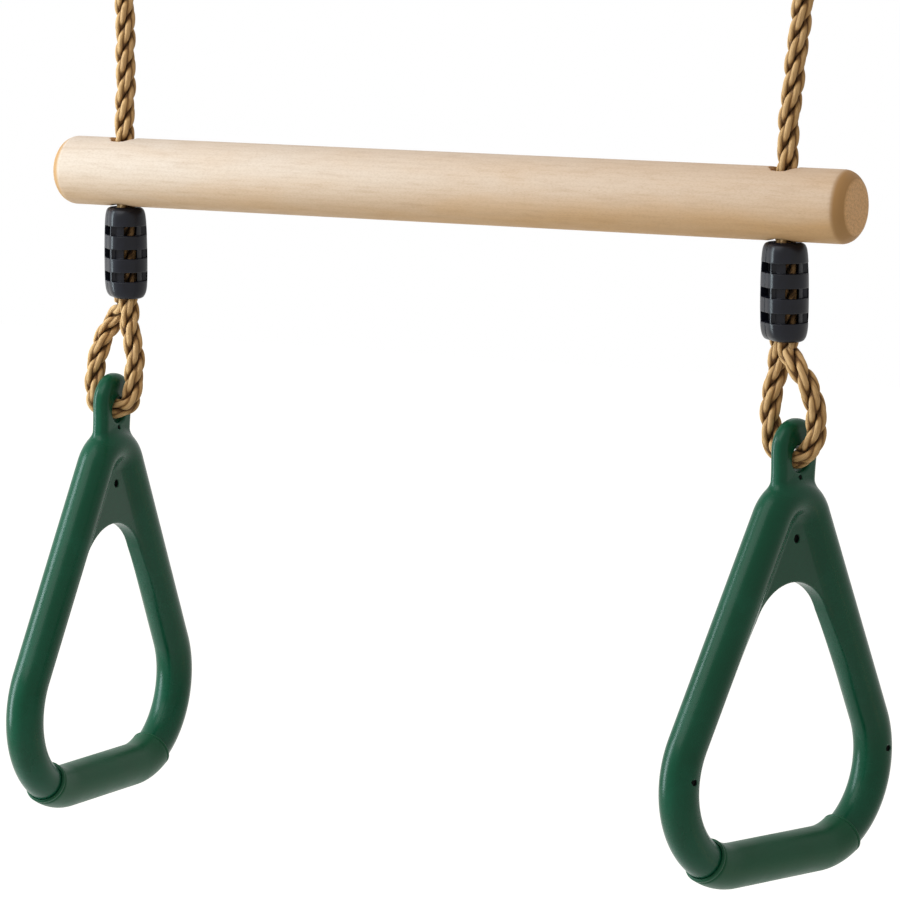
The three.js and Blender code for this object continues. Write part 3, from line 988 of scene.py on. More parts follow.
@dataclass(frozen=True)
class Lay:
    """How the rope is laid: three strands of three plies each, the plies twisted against the strands.

    Args:
        pitch: How far along the rope a strand takes for one turn.
        reach: From the rope's middle to a strand's.
        depth: A strand's half thickness, out from the rope's middle.
        width: Its half width, round the rope.
        ply_radius: Radius of a ply's outside.
        ply_offset: From a strand's middle to a ply's.
        ply_turns: Turns of the plies in their strand for each turn of the strand in the rope.
        ply_step: How much farther round its strand the plies of the next strand start, in degrees.
        rope_grooves: From the rope's middle to the depth and to the lip of the grooves between strands, over
            which the painted shade in the grooves fades out.
        ply_grooves: The same of the grooves between plies, as shares of the strand's size.
    """

    pitch: float = 38.5
    reach: float = 2.95
    depth: float = 2.4
    width: float = 3.05
    ply_radius: float = 1.35
    ply_offset: float = 1.15
    ply_turns: float = 2.155
    ply_step: float = 40.0
    rope_grooves: tuple[float, float] = (3.2, 4.9)
    ply_grooves: tuple[float, float] = (0.6, 0.92)

    def strands(self, path: Array, start: Array, sides: int, phase: float, ply_phase: float = 0.0,
                thickness: float = 1.0) -> Skin:
        """Lay the three strands along a path.

        Args:
            path: Evenly spaced middle points of the rope.
            start: The side direction that the strands are counted from.
            sides: How many sides a strand has.
            phase: Where the first strand starts, in degrees round the rope.
            ply_phase: Where its plies start, in degrees round the strand.
            thickness: Share of the full rope's thickness.

        Returns:
            The skin of the strands, with fibre coordinates.
        """
        _, side, cross = carried_frames(path, start)
        run = run_along(path)
        skins = []
        for strand in range(3):
            theta = TURN * run / self.pitch + math.radians(phase) + strand * TURN / 3
            ply = math.radians(ply_phase + self.ply_step * strand) - self.ply_turns * TURN * run / self.pitch
            out = np.cos(theta)[:, None] * side + np.sin(theta)[:, None] * cross
            over = -np.sin(theta)[:, None] * side + np.cos(theta)[:, None] * cross
            skins.append(self.strand_skin(path, out, over, run, ply, sides, thickness))
        return joined(skins)

    def strand_skin(self, path: Array, out: Array, over: Array, run: Array, ply: Array, sides: int,
                    thickness: float) -> Skin:
        """Lay one strand.

        Args:
            path: Middle points of the rope.
            out: Direction from the rope's middle to the strand's at each point.
            over: Direction round the rope there.
            run: Length of rope up to each point.
            ply: Where the first ply lies round the strand there.
            sides: How many sides the strand has.
            thickness: Share of the full rope's thickness.

        Returns:
            The strand's skin.
        """
        phi = (np.arange(sides) / sides - 0.5) * TURN
        third = TURN / 3
        away = (phi[None, :] - ply[:, None] + third / 2) % third - third / 2
        lobe = self.ply_offset * np.cos(away)
        lobe += np.sqrt(self.ply_radius**2 - (self.ply_offset * np.sin(away)) ** 2)
        lobe /= self.ply_offset + self.ply_radius
        size = lobe / np.hypot(np.cos(phi) / self.depth, np.sin(phi) / self.width)
        x = self.reach + size * np.cos(phi)
        y = size * np.sin(phi)
        rows = thickness * (x[:, :, None] * out[:, None, :] + y[:, :, None] * over[:, None, :])
        rows += path[:, None, :]
        centre = path + thickness * self.reach * out
        points = np.vstack([rows.reshape(-1, 3), centre[:1], centre[-1:]])
        # How far out of the grooves each corner stands, which the finish turns into painted shade in the
        # grooves and painted highlights on the crowns
        painted_light = smooth_step(np.hypot(x, y), *self.rope_grooves) * smooth_step(lobe, *self.ply_grooves)
        painted_light = np.concatenate([painted_light.ravel(), [0, 0]])

        i, j = np.divmod(np.arange((len(path) - 1) * sides), sides)
        turns = (-ply / TURN)[:, None] + np.arange(sides + 1) / sides
        near, far = run[i], run[i + 1]
        corners = (near, turns[i, j], near, turns[i, j + 1], far, turns[i + 1, j + 1], far, turns[i + 1, j])
        uv = np.stack(corners, axis=1).reshape(-1, 2)
        low, high, last = len(points) - 2, len(points) - 1, (len(path) - 1) * sides
        faces = tube_faces(len(path), sides, closed=False)
        faces += [(low, (j + 1) % sides, j) for j in range(sides)]
        faces += [(high, last + j, last + (j + 1) % sides) for j in range(sides)]
        ends = np.repeat([[run[0], 0.5], [run[-1], 0.5]], 3 * sides, axis=0)
        return Skin(points, faces, np.vstack([uv, ends]), None, painted_light)


@dataclass
class RopeWork:
    """Sizes and places of the ropes on one side of the trapeze.

    Args:
        hand: Which side this is.
        hole: The rope hole's x.
        lower_x: The lower clamp's x.
        upper_x: The upper clamp's x.
        route: Places of the main rope between the clamps, x from the hole and z from the bar's middle.
        eye: Centre of the hand ring's eye, z from the bar's middle.
        ring_turn: The ring's turn, tilt and lean in degrees.
        loop: How the lower loop lies below its clamp: share of its reach, of the half gap for its front
            leg and its back leg, of its turn and of its sideways drift.
        pitch: How far along the rope a strand takes for one turn.
    """

    hand: Hand
    hole: float
    lower_x: float
    upper_x: float
    route: tuple[tuple[float, float], ...]
    eye: Triple
    ring_turn: Triple
    loop: LoopRows
    pitch: float

    # The same on both sides, heights from the bar's middle
    diameter: float = 10.0
    lower_mouth: float = -64.5
    lower_top: float = -17.8
    upper_bottom: float = 103.3
    upper_mouth: float = 150.0
    gap: float = 0.3
    lead: float = 3.5
    half_gap: float = 15.0
    bend_tip: float = 1.1
    tip_range: tuple[float, float] = (0.7, 0.97)
    upper_phase: float = 20.0
    loop_drop: float = 0.15
    upper_reach: float = 53.5
    lower_turn: float = -40.5
    upper_turn: float = -90.0
    step: float = 0.7
    strand_sides: int = 48
    loop_start: LoopRows = ((0, 0.33, 0.33, 0, 0), (0.07, 0.33, 0.33, 0, 0))
    upper_loop: LoopRows = (
        (0.16, 0.38, 0.38, 0.1, 0.08),
        (0.28, 0.5, 0.5, 0.3, 0.24),
        (0.45, 0.74, 0.74, 0.62, 0.45),
        (0.6, 0.92, 0.92, 0.87, 0.6),
        (0.74, 1, 1, 1, 0.74),
        (0.86, 0.93, 0.93, 1, 0.86),
        (0.947, 0.69, 0.69, 1, 0.947),
        (0.99, 0.35, 0.35, 1, 0.99),
    )

    def lift(self, points: Array) -> Array:
        """Move points from the bar's middle line to the frame of the whole part."""
        return points + np.array([0.0, 0.0, BAR_HEIGHT])

    def ring_matrix(self) -> Array:
        """Give the turn of this side's hand ring as a matrix.

        Returns:
            Three rows of three.
        """
        yaw, tilt, lean = (math.radians(part) for part in self.ring_turn)
        turn = Matrix.Rotation(yaw, 3, "Z") @ Matrix.Rotation(-lean, 3, "X") @ Matrix.Rotation(-tilt, 3, "Y")
        return np.array(turn)

    def main_path(self) -> Array:
        """Give the rope's middle line from the lower clamp up through the bar to the upper clamp.

        Returns:
            Evenly spaced points.
        """
        bottom = self.lower_top + self.gap
        top = self.upper_bottom - self.gap
        route = [(self.lower_x, bottom), (self.lower_x, bottom + self.lead)]
        route += [(self.hole + x, z) for x, z in self.route]
        route += [(self.upper_x, top - self.lead), (self.upper_x, top)]
        knots = np.array([(x, 0.0, z) for x, z in route])
        return self.lift(even_path(centripetal_curve(knots), self.step))

    def loop_path(self, mouth: Array, bend: Array, first: Array, last: Array, shares: LoopRows) -> Array:
        """Give a loop's middle line, down one leg, round the bend and back.

        Args:
            mouth: Middle of the clamp's mouth.
            bend: Middle of the bend.
            first: Which way the legs lie apart at the mouth.
            last: Which way they lie apart at the bend.
            shares: How the loop lies after its start.

        Returns:
            Evenly spaced points.
        """
        front, back = [], []
        for reach, front_gap, back_gap, turn, drift in (*self.loop_start, *shares):
            centre = mouth + (bend - mouth) * drift
            centre[2] = mouth[2] + (bend[2] - mouth[2]) * reach
            apart = unit(first + (last - first) * turn) * self.half_gap
            tip = np.array([0.0, 0.0, self.bend_tip * smooth_step(np.array(reach), *self.tip_range)])
            front.append(centre + apart * front_gap + tip)
            back.append(centre - apart * back_gap - tip / 2)
        knots = np.array([*front, bend, *reversed(back)])
        return self.lift(even_path(centripetal_curve(knots), self.step))

    def lower_path(self) -> Array:
        """Give the middle line of the loop that carries the hand ring.

        Returns:
            Evenly spaced points.
        """
        turn = self.ring_matrix()
        mouth = np.array([self.lower_x, 0.0, self.lower_mouth - self.gap])
        bend = np.array(self.eye) - self.loop_drop * turn[:, 2]
        return self.loop_path(mouth, bend, turned(self.lower_turn), -turn[:, 1], self.loop)

    def upper_path(self) -> Array:
        """Give the middle line of the loop over the steel ring.

        Returns:
            Evenly spaced points.
        """
        mouth = np.array([self.upper_x, 0.0, self.upper_mouth + self.gap])
        bend = np.array([self.upper_x, 0.0, self.upper_mouth + self.upper_reach])
        apart = turned(self.upper_turn)
        return self.loop_path(mouth, bend, apart, apart, self.upper_loop)

    def make(self, fitter: Fitter, finish: Material) -> None:
        """Args:
            fitter: Puts the pieces on their bodies.
            finish: The rope's finish.
        """
        name = self.hand.value
        rope = Lay(self.pitch)
        plans = (
            ("main_rope", self.main_path(), "ropes", 0.0, "taut"),
            ("lower_loop", self.lower_path(), f"{name}_loop", 0.0, "hanging"),
            ("upper_loop", self.upper_path(), "ropes", self.upper_phase, "hanging"),
        )
        for title, path, body, phase, lay in plans:
            # The laid rope goes on a little at both ends, into the clamps
            full = np.vstack([2 * path[0] - path[4:0:-1], path, 2 * path[-1] - path[-2:-6:-1]])
            skin = rope.strands(full, np.array([1.0, 0.2, 0.1]), self.strand_sides, phase)
            label = f"{name}_laid_{title}"
            piece = fitter.fit(label, skin.mesh(label, finish), body, "rope", f"{name}_{title}")
            line = path * MM
            tuple(line[0])
            path_length(path) * MM


# Clamp


@dataclass
class RopeClamp:
    """Two shells that snap round the rope. Their frame has the mouth's end at z 0 and the front at +y."""

    height: float = 46.7
    width: float = 20.2
    depth: float = 24.6
    flat: float = 12.4
    corner: float = 1.2
    seam: float = 0.3
    window_height: float = 4.7
    window_pitch: float = 11.8
    first_window: float = 9.5
    windows: int = 3
    face_width: float = 18.6
    face_depth: float = 2.4
    peephole: float = 6.4
    peephole_floor: float = 3.0
    side_width: float = 10.6
    side_depth: float = 4.4
    post: float = 0.9
    throat: float = 15.0
    rope: float = 9.6
    gap: float = 0.3
    edge: float = 0.4
    end_edge: float = 0.8
    seam_edge: float = 0.25
    recess_edge: float = 0.3
    way_step: float = 1.6
    step: float = 0.5
    profile: tuple[Triple, ...] = (
        (0, 0.66, 0.9),
        (0.022, 0.8, 0.95),
        (0.065, 0.91, 0.98),
        (0.13, 0.97, 0.995),
        (0.3, 1, 1),
        (0.62, 0.995, 0.995),
        (0.82, 0.97, 0.965),
        (0.92, 0.93, 0.92),
        (0.968, 0.87, 0.85),
        (1, 0.72, 0.69),
    )

    def __post_init__(self) -> None:
        """Work out how far the two runs of rope lie from the clamp's middle."""
        self.offset = (self.rope + self.gap) / 2

    def standing_way(self) -> Array:
        """Give the middle line of the rope that runs on through the clamp.

        Returns:
            Evenly spaced points, mouth first.
        """
        low = self.height - self.throat
        bend = self.height - self.rope / 4
        knots = np.array([
            (0, -self.offset, 0),
            (0, -self.offset, low),
            (0, -self.offset / 2, (low + bend) / 2),
            (0, 0, bend),
            (0, 0, self.height),
        ], float)
        return even_path(centripetal_curve(knots), self.way_step)

    def tail_way(self) -> Array:
        """Give the middle line of the rope's short end in the clamp."""
        ends = [(0, self.offset, 0), (0, self.offset, self.height - self.throat)]
        return even_path(np.array(ends, float), self.way_step)

    def sizes_at(self, z: Array) -> tuple[Array, Array]:
        """Give the half width and half depth of the outside at each height.

        Args:
            z: Heights above the mouth's end.

        Returns:
            The half widths and the half depths.
        """
        table = np.array(self.profile)
        fine = centripetal_curve(table, 12)
        share = np.clip(z / self.height, 0, 1)
        wide = np.interp(share, fine[:, 0], fine[:, 1])
        deep = np.interp(share, fine[:, 0], fine[:, 2])
        return wide * self.width / 2, deep * self.depth / 2

    def outside(self, points: Array) -> Array:
        """Measure the distance to the whole outside of the clamp.

        Args:
            points: Places to measure from.

        Returns:
            Signed distance, less than 0 in the clamp.
        """
        half_width, half_depth = self.sizes_at(points[:, 2])
        rise = half_depth * (1 - self.flat / self.depth)
        radius = (half_width**2 + rise**2) / (2 * rise)
        face = np.hypot(points[:, 0], np.abs(points[:, 1]) - (half_depth - radius)) - radius
        return meet_round(face, np.abs(points[:, 0]) - half_width, self.corner)

    def cavity(self, points: Array) -> Array:
        """Measure the distance to the room for both runs of rope.

        Args:
            points: Places to measure from.

        Returns:
            Signed distance, less than 0 where the rope lies.
        """
        bore = self.rope / 2 + self.gap
        way = self.standing_way()
        way[0, 2] -= 2
        way[-1, 2] += 2
        nearest = np.full(len(points), 1e9)
        for a, b in pairwise(way):
            step = b - a
            share = np.clip((points - a) @ step / (step @ step), 0, 1)
            nearest = np.minimum(nearest, np.linalg.norm(points - a - share[:, None] * step, axis=1))
        standing = nearest - bore
        top = self.height - self.throat + self.gap
        tail = np.hypot(points[:, 0], points[:, 1] - self.offset) - bore
        tail = np.maximum(tail, points[:, 2] - top)
        middle, half = np.array([0, 0, top / 2 - 1]), np.array([bore / 2, self.offset, top / 2 + 1])
        valley = rounded_box(points, middle, half, self.recess_edge)
        return np.minimum(np.minimum(standing, tail), valley)

    def openings(self, points: Array, outside: Array) -> Array:
        """Measure the distance to the windows in the faces and sides.

        Args:
            points: Places to measure from.
            outside: Their distance to the clamp's outside.

        Returns:
            Signed distance, less than 0 in a window.
        """
        nearest = np.full(len(points), 1e9)
        across, front = np.abs(points[:, 0]), np.abs(points[:, 1])
        half = self.window_height / 2
        cover = self.side_width / 2 + self.post
        for i in range(self.windows):
            z = self.height - self.first_window - half - i * self.window_pitch
            slot = np.abs(points[:, 2] - z) - half
            recess = np.maximum(across - self.face_width / 2, slot)
            recess = meet_round(recess, -self.face_depth - outside, self.recess_edge)
            recess = np.maximum(recess, cover - front)
            hole = np.maximum(across - self.peephole / 2, slot)
            hole = np.maximum(hole, self.peephole_floor - front)
            side = np.maximum(front - self.side_width / 2, slot)
            side = np.maximum(side, self.width / 2 - self.side_depth - across)
            nearest = np.minimum(nearest, np.minimum(np.minimum(recess, hole), side))
        return nearest

    def shell_field(self, shell: Shell) -> Field:
        """Give the signed distance to one shell.

        Args:
            shell: Which half.

        Returns:
            A function that measures it.
        """

        def distance(points: Array) -> Array:
            """Measure the distance to this shell.

            Args:
                points: Places to measure from.

            Returns:
                Signed distance, less than 0 in the plastic.
            """
            outside = self.outside(points)
            ends = np.maximum(points[:, 2] - self.height, -points[:, 2])
            body = meet_round(outside, ends, self.end_edge)
            body = meet_round(body, -self.cavity(points), self.edge)
            body = meet_round(body, -self.openings(points, outside), self.edge)
            return meet_round(body, self.seam / 2 - shell.value * points[:, 1], self.seam_edge)

        return distance

    def shell_skin(self, shell: Shell) -> Skin:
        """Lay the skin of one shell.

        Args:
            shell: Which half.

        Returns:
            Its skin, in the clamp's frame.
        """
        reach = np.array([self.width / 2 + 1, self.depth / 2 + 1, self.height + 1])
        low, high = np.array([-reach[0], -reach[1], -1.0]), reach.copy()
        past_seam = self.seam / 2 - 2.5 * self.step
        if shell is Shell.FRONT:
            low[1] = past_seam
        else:
            high[1] = -past_seam
        return skinned(self.shell_field(shell), low, high, self.step)


@dataclass
class ClampSet:
    """The four clamps of the trapeze and the rope they hold.

    Args:
        clamp: The clamp that all four are made like.
        lay: How the rope in them is laid.
        sunk: Share of their distance from the clamp's middle that the squeezed ropes keep.
        thickness: Share of the rope's thickness that they keep.
        strand_sides: How many sides one of their strands has.
        first_phase: Where the first run's first strand starts, in degrees round the rope.
        phase_step: How much farther round the other run's starts.
        ply_phase: Where the plies start, in degrees round their strand.
    """

    clamp: RopeClamp = field(default_factory=RopeClamp)
    lay: Lay = field(default_factory=Lay)
    sunk: float = 0.8
    thickness: float = 0.86
    strand_sides: int = 24
    first_phase: float = 15.0
    phase_step: float = 30.0
    ply_phase: float = 10.0

    def make(self, works: list[RopeWork], fitter: Fitter, finishes: Finishes) -> None:
        """Make every clamp's shells and the runs of rope inside.

        Args:
            works: The ropes' places on both sides.
            fitter: Puts the pieces on their bodies.
            finishes: The finishes.
        """
        meshes = {}
        for shell in Shell:
            meshes[shell] = self.clamp.shell_skin(shell).mesh(f"clamp_{shell.name.lower()}", finishes.clamp)
        rope = self.rope_mesh(finishes.squeezed_rope)
        for work in works:
            for storey in Storey:
                self.place(work, storey, meshes, rope, fitter)

    def rope_mesh(self, finish: Material) -> Mesh:
        """Make the standing and tail run of rope that every clamp holds.

        Args:
            finish: The rope's darker copy, painted shade for the rope inside the clamps.

        Returns:
            The mesh of both runs.
        """
        tail = self.clamp.tail_way()
        tail = np.vstack([tail, tail[-1] + np.outer(np.arange(1, 6), tail[1] - tail[0])])
        skins = []
        for i, way in enumerate((self.clamp.standing_way(), tail)):
            way[:, 1] *= self.sunk
            phase = self.first_phase + self.phase_step * i
            skins.append(self.lay.strands(way, np.array([1.0, 0, 0]), self.strand_sides, phase,
                                          self.ply_phase, self.thickness))
        return joined(skins).mesh("clamped_rope", finish)

    def place(self, work: RopeWork, storey: Storey, meshes: dict[Shell, Mesh], rope: Mesh,
              fitter: Fitter) -> None:
        """Stand one clamp on its rope.

        Args:
            work: The ropes' places on its side.
            storey: Below the bar or above it.
            meshes: The mesh of each shell.
            rope: The mesh of the rope inside.
            fitter: Puts the pieces on their bodies.
        """
        lower = storey is Storey.LOWER
        x, z = (work.lower_x, work.lower_mouth) if lower else (work.upper_x, work.upper_mouth)
        facing = work.lower_turn if lower else work.upper_turn
        turn = Matrix.Rotation(math.radians(facing - 90), 4, "Z")
        if not lower:
            turn = turn @ Matrix.Rotation(math.pi, 4, "Y")
        spot = Matrix.Translation(Vector((x, 0, z + BAR_HEIGHT)) * MM) @ turn
        prefix = f"{work.hand.value}_{storey.value}_clamp"
        for shell, mesh in meshes.items():
            face = shell.name.lower()
            name, node = f"{prefix}_shell_{face}", f"{prefix}_{face}"
            fitter.fit(name, mesh, "ropes", "clamp_plastic", node, spot=spot)
        nodes = (f"{prefix}_standing_rope", f"{prefix}_tail_rope")
        fitter.fit(f"{prefix}_rope", rope, "ropes", "rope", *nodes, spot=spot)


# Bar


@dataclass
class WoodenBar:
    """The round bar with its rope holes, its middle line along X.

    Args:
        holes: The holes' x.
    """

    holes: tuple[float, ...]
    length: float = 450.0
    diameter: float = 35.0
    bevel: tuple[float, float] = (4.2, 4.6)
    bevel_edge: float = 2.2
    hole: float = 13.6
    hole_edge: float = 0.7
    step: float = 1.15

    def distance(self, points: Array) -> Array:
        """Measure the distance to the bar.

        Args:
            points: Places to measure from.

        Returns:
            Signed distance, less than 0 in the wood.
        """
        side = np.hypot(points[:, 1], points[:, 2]) - self.diameter / 2
        end = np.abs(points[:, 0]) - self.length / 2
        back, inward = self.bevel
        slope = (end / back + side / inward + 1) * back * inward / math.hypot(back, inward)
        body = meet_round(meet_round(side, slope, self.bevel_edge), end, self.bevel_edge / 2)
        for x in self.holes:
            hole = np.hypot(points[:, 0] - x, points[:, 1]) - self.hole / 2
            body = meet_round(body, -hole, self.hole_edge)
        return body

    def make(self, fitter: Fitter, finish: Material) -> None:
        """Make the bar.

        Args:
            fitter: Puts the pieces on their bodies.
            finish: The wood.
        """
        reach = np.array([self.length / 2, self.diameter / 2, self.diameter / 2]) + ROOM
        skin = skinned(self.distance, -reach, reach, self.step)
        skin = skin.placed(np.eye(3), np.array([0.0, 0.0, BAR_HEIGHT]))
        fitter.fit("turned_bar", skin.mesh("turned_bar", finish), "bar", "bar_wood", "wooden_bar")


# Hand ring


@dataclass
class HandRing:
    """The triangular hand ring. Its frame has the eye at the origin, x across, y through it and z up.

    A pin is given by its x, its height above the tube's lower middle line, its radius, and how far the
    face that it is sunk into lies in front of the ring's middle.
    """

    tube: float = 19.0
    base_width: float = 205.0
    peak_height: float = 192.0
    bend: float = 42.0
    peak: float = 16.6
    eye_above_peak: float = 18.9
    eye: float = 13.0
    tab_width: float = 28.8
    tab_neck: float = 27.6
    tab_thickness: float = 9.0
    tab_round: float = 3.9
    tab_wall: float = 12.3
    neck_share: float = 0.45
    web_thickness: float = 8.6
    web_depth: float = 40.4
    arch: float = 31.0
    foot_taper: float = 0.16
    foot_reach: float = 36.0
    web_edge: float = 1.1
    web_fillet: float = 3.2
    tab_foot: float = 12.0
    tab_fillet: float = 2.2
    eye_edge: float = 1.3
    middle_pins: Pins = ((0, 154, 2.05, 4.3), (0, 183.3, 1.1, 4.8))
    bend_pins: Pins = ((-74.6, 46, 1.55, 9.5), (74.6, 46, 1.55, 9.5))
    pin_edge: float = 0.3
    pin_sides: int = 24
    grip: float = 22.0
    grip_into_bend: float = 29.5
    grip_gap: float = 0.3
    grip_sides: int = 48
    grip_steps: int = 68
    bore_steps: int = 40
    crease: float = 50.0
    step: float = 0.85

    def __post_init__(self) -> None:
        """Work out where the bends lie."""
        self.slope = math.atan2(self.peak_height, self.base_width / 2)
        self.bend_angle = math.pi - self.slope
        self.bend_x = self.base_width / 2 - self.bend / math.tan(self.slope / 2)
        self.peak_centre = self.peak_height - self.peak / math.cos(self.slope)
        self.top = self.peak_centre + self.peak
        self.eye_height = self.top + self.eye_above_peak
        self.arch_centre = self.top - self.web_depth - self.arch
        self.pins = self.middle_pins + self.bend_pins

    def arc_distance(self, x: Array, z: Array, centre: tuple[float, float], radius: float,
                     start: float, end: float) -> Array:
        """Measure the distance to an arc in the ring's plane, angles from straight down.

        Args:
            x: Places across.
            z: Their heights.
            centre: The arc's centre.
            radius: Its radius.
            start: Angle where it starts.
            end: Angle where it ends.

        Returns:
            The distance to the arc's line.
        """
        dx, dz = x - centre[0], z - centre[1]
        angle = np.arctan2(dx, -dz)
        on_arc = (angle >= start) & (angle <= end)
        ends = [arc_point(centre, radius, angle) for angle in (start, end)]
        away = np.minimum(*(np.hypot(x - end_x, z - end_z) for end_x, end_z in ends))
        return np.where(on_arc, np.abs(np.hypot(dx, dz) - radius), away)

    def middle_distance(self, x: Array, z: Array) -> Array:
        """Measure the distance to the tube's middle line, in the ring's plane.

        Args:
            x: Places across.
            z: Heights above the tube's lower middle line.

        Returns:
            The distance to the line.
        """
        x = np.abs(x)
        base = np.hypot(np.maximum(x - self.bend_x, 0), z)
        low_arc, high_arc = ((self.bend_x, self.bend), self.bend), ((0, self.peak_centre), self.peak)
        corner = self.arc_distance(x, z, *low_arc, 0, self.bend_angle)
        crown = self.arc_distance(x, z, *high_arc, self.bend_angle, math.pi)
        a, b = arc_point(*low_arc, self.bend_angle), arc_point(*high_arc, self.bend_angle)
        step = b - a
        share = np.clip(((x - a[0]) * step[0] + (z - a[1]) * step[1]) / (step @ step), 0, 1)
        side = np.hypot(x - a[0] - share * step[0], z - a[1] - share * step[1])
        return np.minimum(np.minimum(base, side), np.minimum(corner, crown))

    def web(self, x: Array, y: Array, z: Array) -> Array:
        """Measure the distance to the web plate under the crown.

        Args:
            x: Places across.
            y: Places through the ring.
            z: Heights above the tube's lower middle line.

        Returns:
            Signed distance to the plate.
        """
        arch = self.arch - np.hypot(x, z - self.arch_centre)
        side = np.abs(x) * math.sin(self.slope) + (z - self.peak_height) * math.cos(self.slope)
        foot = self.arch_centre + self.arch * math.cos(self.slope)
        reach = (self.peak_height - self.arch_centre) * math.cos(self.slope) - self.arch
        edge = -side - reach + self.foot_taper * (foot - z)
        inner = np.where(z > foot, arch, edge)
        flat = np.maximum(inner, np.maximum(side, np.maximum(z - self.top, foot - self.foot_reach - z)))
        return meet_round(flat, np.abs(y) - self.web_thickness / 2, self.web_edge)

    def tab(self, x: Array, y: Array, z: Array) -> Array:
        """Measure the distance to the tab that holds the eye.

        Args:
            x: Places across.
            y: Places through the ring.
            z: Heights above the tube's lower middle line.

        Returns:
            Signed distance to the tab.
        """
        full, neck = self.tab_width / 2, self.tab_neck / 2
        top_centre = self.eye_height + self.eye / 2 + self.tab_wall - full
        neck_top = self.top + self.neck_share * (top_centre - self.top)
        half = neck + (full - neck) * smooth_step(z, neck_top, top_centre)
        flat = np.where(z > top_centre, np.hypot(x, z - top_centre) - full, np.abs(x) - half)
        flat = np.maximum(flat, self.top - self.tab_foot - z)
        a = flat + self.tab_round
        b = np.abs(y) - (self.tab_thickness / 2 - self.tab_round)
        solid = np.hypot(np.maximum(a, 0), np.maximum(b, 0)) + np.minimum(np.maximum(a, b), 0)
        return solid - self.tab_round

    def distance(self, points: Array) -> Array:
        """Measure the distance to the whole moulding.

        Args:
            points: Places to measure from.

        Returns:
            Signed distance, less than 0 in the plastic.
        """
        x, y = points[:, 0], points[:, 1]
        z = points[:, 2] + self.eye_height
        tube = np.hypot(self.middle_distance(x, z), y) - self.tube / 2
        solid = join_round(tube, self.web(x, y, z), self.web_fillet)
        solid = join_round(solid, self.tab(x, y, z), self.tab_fillet)
        eye = np.hypot(x, z - self.eye_height) - self.eye / 2
        solid = meet_round(solid, -eye, self.eye_edge)
        for pin_x, pin_z, radius, face in self.pins:
            bore = np.maximum(np.hypot(x - pin_x, z - pin_z) - radius, y + face - 1.1 * radius)
            solid = meet_round(solid, -bore, self.pin_edge)
        return solid

    def ring_skin(self) -> Skin:
        """Lay the skin of the moulding.

        Returns:
            Its skin, in the ring's frame.
        """
        half = self.tube / 2
        across = self.bend_x + self.bend + half + ROOM
        low = np.array([-across, -half - ROOM, -self.eye_height - half - ROOM])
        high = np.array([across, half + ROOM, self.eye / 2 + self.tab_wall + ROOM])
        return skinned(self.distance, low, high, self.step)

    def pin_skin(self) -> Skin:
        """Make the sunk pins of one ring, each a rim round a dished floor.

        Returns:
            The skin of all pins, in the ring's frame.
        """
        turn = np.array([[1.0, 0, 0], [0, 0, -1.0], [0, 1.0, 0]])
        skins = []
        for pin_x, pin_z, radius, face in self.pins:
            deep = -0.9 * radius
            outline = [(radius * 1.04, deep - 0.3), (radius * 0.97, -0.28), (radius * 0.9, -0.3),
                       (radius * 0.84, deep + 0.25), (radius * 0.5, deep), (0, deep + 0.1)]
            place = np.array([pin_x, -face, pin_z - self.eye_height])
            skins.append(spun(outline, self.pin_sides).placed(turn, place))
        return joined(skins)

    def grip_stations(self, offsets: list[tuple[float, float]]) -> list[tuple[Array, Array, float]]:
        """Place the rings of corners of the sleeve.

        Args:
            offsets: Distance along the middle line from the middle of the grip, and radius there.

        Returns:
            The middle point, the direction and the radius of each ring of corners.
        """
        stations = []
        for run, radius in offsets:
            hand = 1 if run >= 0 else -1
            length = abs(run)
            if length <= self.bend_x:
                point = np.array([run, 0.0, 0.0])
                ahead = np.array([1.0, 0.0, 0.0])
            else:
                angle = (length - self.bend_x) / self.bend
                x, z = arc_point((self.bend_x, self.bend), self.bend, angle)
                point = np.array([hand * x, 0.0, z])
                ahead = np.array([math.cos(angle), 0.0, hand * math.sin(angle)])
            stations.append((point - np.array([0, 0, self.eye_height]), ahead, radius))
        return stations

    def grip_skin(self) -> Skin:
        """Make the sleeve, with a bead and a groove at each end.

        Returns:
            Its skin, in the ring's frame.
        """
        end = self.bend_x + math.radians(self.grip_into_bend) * self.bend
        outer, inner = self.grip / 2, self.tube / 2 + self.grip_gap
        lip = [(end, inner), (end, outer - 0.55), (end - 0.15, outer - 0.2), (end - 0.45, outer + 0.02),
               (end - 1.3, outer + 0.02), (end - 1.6, outer - 0.15), (end - 1.85, outer - 0.42),
               (end - 2.1, outer - 0.42), (end - 2.4, outer - 0.12), (end - 2.9, outer)]
        body = [(run, outer) for run in np.linspace(end - 4, -(end - 4), self.grip_steps)]
        left = [(-run, radius) for run, radius in reversed(lip)]
        bore = [(run, inner) for run in np.linspace(-end + 2, end - 2, self.bore_steps)]
        stations = self.grip_stations(lip + body + left + bore)
        angles = np.arange(self.grip_sides) / self.grip_sides * TURN
        side = np.array([0.0, 1.0, 0.0])
        points = []
        for point, ahead, radius in stations:
            ring = np.cos(angles)[:, None] * side + np.sin(angles)[:, None] * np.cross(ahead, side)
            points.append(point + radius * ring)
        return Skin(np.vstack(points), tube_faces(len(stations), self.grip_sides, inside_out=True))

